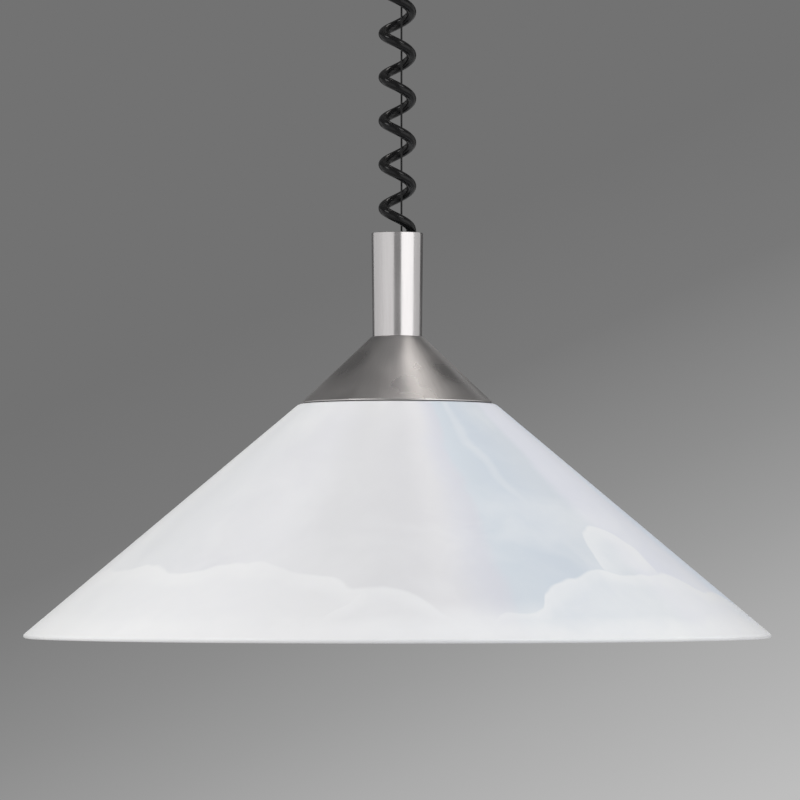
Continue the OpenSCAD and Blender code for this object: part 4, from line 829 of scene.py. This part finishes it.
# %% Glass shade
wall, rim_r, turn_r, hole_r, bend_r = 3.0, 223.42, 59.0, 21.0, 4.0
slope = math.degrees(math.atan2(glass_h - wall, rim_r - turn_r))
bend_at = (turn_r - bend_r * math.tan(math.radians(slope / 2)), glass_z - wall / 2 - bend_r)
rim_at = (rim_r, glass_z - (glass_h - 0.01) + wall / 2)
glass_profile = [(hole_r, glass_z - wall), (hole_r, glass_z)]
glass_profile += arc(bend_at, bend_r + wall / 2, 0, slope, 12)
outer_start, outer_end = glass_profile[-1], arc(rim_at, wall / 2, slope, slope, 1)[0]
glass_profile += [(outer_start[0] + (outer_end[0] - outer_start[0]) * t / 12,
                   outer_start[1] + (outer_end[1] - outer_start[1]) * t / 12) for t in range(1, 12)]
glass_profile += arc(rim_at, wall / 2, slope, slope + 180, 20)
glass_profile += arc(bend_at, bend_r - wall / 2, slope, 0, 8)
glass = add_piece("glass_shade_blown", turned_mesh("glass", glass_profile, 288), alabaster)
declare(glass, "lamp", "glass_shade")
print("slope of the glass", round(slope, 2), "degrees")

# %% Metal cone and handle tube
rod_r = 5.05
cone_edge = 0.6
cone_slope = math.degrees(math.atan2(cone_h - cone_edge, (115 - 32.4) / 2))
cone_aside = math.tan(math.radians(cone_slope / 2))
cone_profile = [
    (rod_r, cone_h), (15.7, cone_h), (16.0, 39.95), (16.2, 39.75), (57.3, 0.79), (57.45, 0.64), (57.5, 0.42),
    (57.5, 0), (56.5, 0), (56.5, cone_edge - math.tan(math.radians((90 - cone_slope) / 2))),
    (16.2 - cone_aside, cone_h - 1), (rod_r, cone_h - 1)]
cone = add_piece("metal_cone_spun",
                 turned_mesh("cone", [(r, cone_foot_z + z) for r, z in cone_profile]), satin_nickel)


tube_wall, mouth_r, taper = 1.5, 15.7, 0.7


def bore(depth):
    """The tube's inner radius at a depth below its mouth."""
    return mouth_r - tube_wall - taper * depth / tube_h


tube_profile = [
    (rod_r, 0), (14.6, 0), (14.85, 0.1), (15.0, 0.4), (15.01, 0.9), (15.69, 62.1), (15.7, 62.6), (15.62, 62.88),
    (15.3, tube_h), (bore(0) + 0.3, tube_h), (bore(0) + 0.05, 62.9), (bore(0), 62.6), (bore(7), 57.25),
    (bore(7) + 0.5, 57.25), (bore(7) + 0.5, 56), (bore(7), 56), (bore(tube_h), tube_wall), (rod_r, tube_wall)]
handle = add_piece("handle_tube_turned",
                   turned_mesh("tube", [(r, tube_foot_z + z) for r, z in tube_profile], 192), brushed_nickel)
declare(cone, "lamp", "metal_cone")
declare(handle, "lamp", "handle_tube")

# %% [markdown]
# ## Threads
# The screw shell, the hollow rod and the lampholder's sleeve carry threads. A thread is a turned wall whose
# profile climbs one pitch a turn, so one tree makes all three: a grid is rolled into a wall that goes up
# outside and down inside, and a cosine along height less angle presses the thread in.

# %% Thread tree
thread_sizes = {
    "Outer Radius": 14.3 * MM, "Outer Depth": 1.05 * MM, "Inner Radius": 13.3 * MM, "Inner Depth": 1.05 * MM,
    "Pitch": 3.62 * MM, "Foot": socket_z * MM, "Height": 25 * MM, "Around": 97, "Along": 161,
}
tree, size = new_tree("thread", thread_sizes)
grid = add_node(tree, "GeometryNodeMeshGrid", {
    "Size X": 1.0, "Size Y": 1.0, "Vertices X": size["Around"], "Vertices Y": size["Along"]})
where = add_node(tree, "ShaderNodeSeparateXYZ", {"Vector": add_node(tree, "GeometryNodeInputPosition")})
swing = add_node(tree, MATH, [where.outputs["X"], math.tau], "MULTIPLY")
lean = add_node(tree, MATH, [where.outputs["Y"]], "ABSOLUTE")
rise = add_node(tree, MATH, [lean, -2.0, 1.0], "MULTIPLY_ADD")
lift = add_node(tree, MATH, [rise, size["Height"]], "MULTIPLY")
# The grid's rows between Y 0 and 0.5 lie on the inner wall
inside = add_node(tree, MATH, [where.outputs["Y"], 0.25, 0.2499], "COMPARE")
climb = add_node(tree, MATH, [lift, size["Pitch"]], "DIVIDE")
climb = add_node(tree, MATH, [climb, math.tau], "MULTIPLY")
phase = add_node(tree, MATH, [climb, swing], "SUBTRACT")
wave = add_node(tree, MATH, [phase], "COSINE")
press = add_node(tree, MATH, [wave, -0.5, 0.5], "MULTIPLY_ADD")
crest = add_node(tree, MIX, {0: inside, 2: size["Outer Radius"], 3: size["Inner Radius"]}, data_type="FLOAT")
cut = add_node(tree, MIX, {0: inside, 2: size["Outer Depth"], 3: size["Inner Depth"]}, data_type="FLOAT")
dent = add_node(tree, MATH, [press, cut], "MULTIPLY")
reach = add_node(tree, MATH, [crest, dent], "SUBTRACT")
flat = []
for kind in ("COSINE", "SINE"):
    share = add_node(tree, MATH, [swing], kind)
    flat.append(add_node(tree, MATH, [share, reach], "MULTIPLY"))
tall = add_node(tree, MATH, [lift, size["Foot"]], "ADD")
corner = add_node(tree, "ShaderNodeCombineXYZ", flat + [tall])
rolled = add_node(tree, "GeometryNodeSetPosition", {"Geometry": grid, "Position": corner})
joined = add_node(tree, "GeometryNodeMergeByDistance", {"Geometry": rolled, "Distance": 0.000001})
close_tree(tree, joined, nickelled_brass)
thread_tree = tree


def add_threaded(name, sizes, material, body, node):
    """A threaded wall, with its faces turned outwards. Sizes not given are the screw shell's."""
    mesh = grown(thread_tree, thread_sizes | sizes)
    form = bmesh.new()
    form.from_mesh(mesh)
    bmesh.ops.recalc_face_normals(form, faces=form.faces)
    form.to_mesh(mesh)
    form.free()
    declare(add_piece(name, mesh, material, 50), body, node)


# %% Screw shell, rod and lampholder sleeve
add_threaded("screw_shell_rolled", {}, nickelled_brass, "lamp", "screw_shell")
flange = add_piece("screw_shell_flange", turned_mesh("flange", [
    (7.5, insert_z - 1), (7.5, insert_z), (14.3, insert_z), (14.3, insert_z - 1)], 96), nickelled_brass)
declare(flange, "lamp")
rod_sizes = {
    "Outer Radius": 5 * MM, "Outer Depth": 0.55 * MM, "Inner Radius": 4 * MM, "Inner Depth": 0.0,
    "Pitch": 1 * MM, "Foot": rod_foot_z * MM, "Height": (rod_top_z - rod_foot_z) * MM, "Around": 49,
    "Along": 385}
add_threaded("threaded_rod_cut", rod_sizes, zinc_plate, "lamp", "threaded_rod")
sleeve_sizes = {
    "Outer Radius": 19.7 * MM, "Outer Depth": 0.9 * MM, "Inner Radius": 15.2 * MM, "Inner Depth": 0.0,
    "Pitch": 3 * MM, "Foot": (socket_z - 3) * MM, "Height": (seat_z - socket_z + 3) * MM,
    "Around": 129, "Along": 321}
add_threaded("lampholder_sleeve", sleeve_sizes, white_moulding, "lamp", "lampholder_body")
collar = add_piece("lampholder_shoulder", turned_mesh("shoulder", [
    (15.2, seat_z), (15.2, shoulder_z), (16.8, shoulder_z + 0.2), (16.8, shoulder_z + 9),
    (18.2, shoulder_z + 9), (18.7, shoulder_z + 8.5), (18.7, shoulder_z), (25.5, shoulder_z),
    (26, shoulder_z - 0.5), (26, seat_z)], 128), white_moulding)
declare(collar, "lamp")

# %% [markdown]
# ## Finishes for the CAD nodes
# Every other node keeps its mesh and gets its real finish.

# %% Hand out the finishes
finishes = {
    brushed_nickel: ["rose_cover"],
    screw_steel: ["rose_screws", "frame_screws", "terminal_screws", "block_screw", "drum_cover_screws",
                  "cap_grub_screw", "earth_clamp_screw", "holder_terminal_screws"],
    zinc_plate: ["ceiling_bracket", "axle_clip", "entry_disc", "cord_crimp", "rod_nuts", "rod_washers",
                 "lampholder_cap"],
    bare_steel: ["reel_frame", "reel_axle", "retaining_ring"],
    spring_steel: ["clock_spring"],
    turned_brass: ["terminal_inserts", "earth_screw", "earth_tag", "wire_anchor", "wire_ferrule",
                   "earth_terminal", "holder_terminals", "centre_contact"],
    black_moulding: ["outlet_bush", "bush_nut"],
    white_moulding: ["grip_screw", "terminal_block", "shade_ring"],
    reel_moulding: ["wire_drum", "drum_cover", "wire_guide"],
    sintered_bronze: ["drum_bush"],
    glazed_porcelain: ["porcelain_insert"],
    silicone: ["upper_gasket", "lower_gasket"],
    coated_wire: ["reel_wire_lead"],
    black_flex: ["curly_cord", "cord_tail_upper", "cord_tail_lower", "suspension_wire", "wound_wire"],
    brown_core: ["brown_core_upper", "brown_core_lower"],
    blue_core: ["blue_core_upper", "blue_core_lower"],
    striped_core: ["earth_core_upper", "earth_core_lower", "earth_link"],
    alabaster: ["glass_shade"],
}
dressed = set()
for material, nodes in finishes.items():
    for name in nodes:
        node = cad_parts[name]
        if not node.material_slots:
            node.data.materials.append(material)
        for slot in node.material_slots:
            slot.material = material
        dressed.add(name)
print("nodes without a finish of their own, all replaced:", sorted(set(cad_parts) - dressed))

# %% [markdown]
# ## Finish
# The visual model has to stay in the CAD model's box, so both boxes are kept side by side.

# %% Keep both boxes and finish
def plain(value):
    """Vectors as plain lists of floats."""
    return [plain(v) for v in value] if hasattr(value, "__len__") else float(value)


{"cad": plain(cad_box), "visual": plain(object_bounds())}
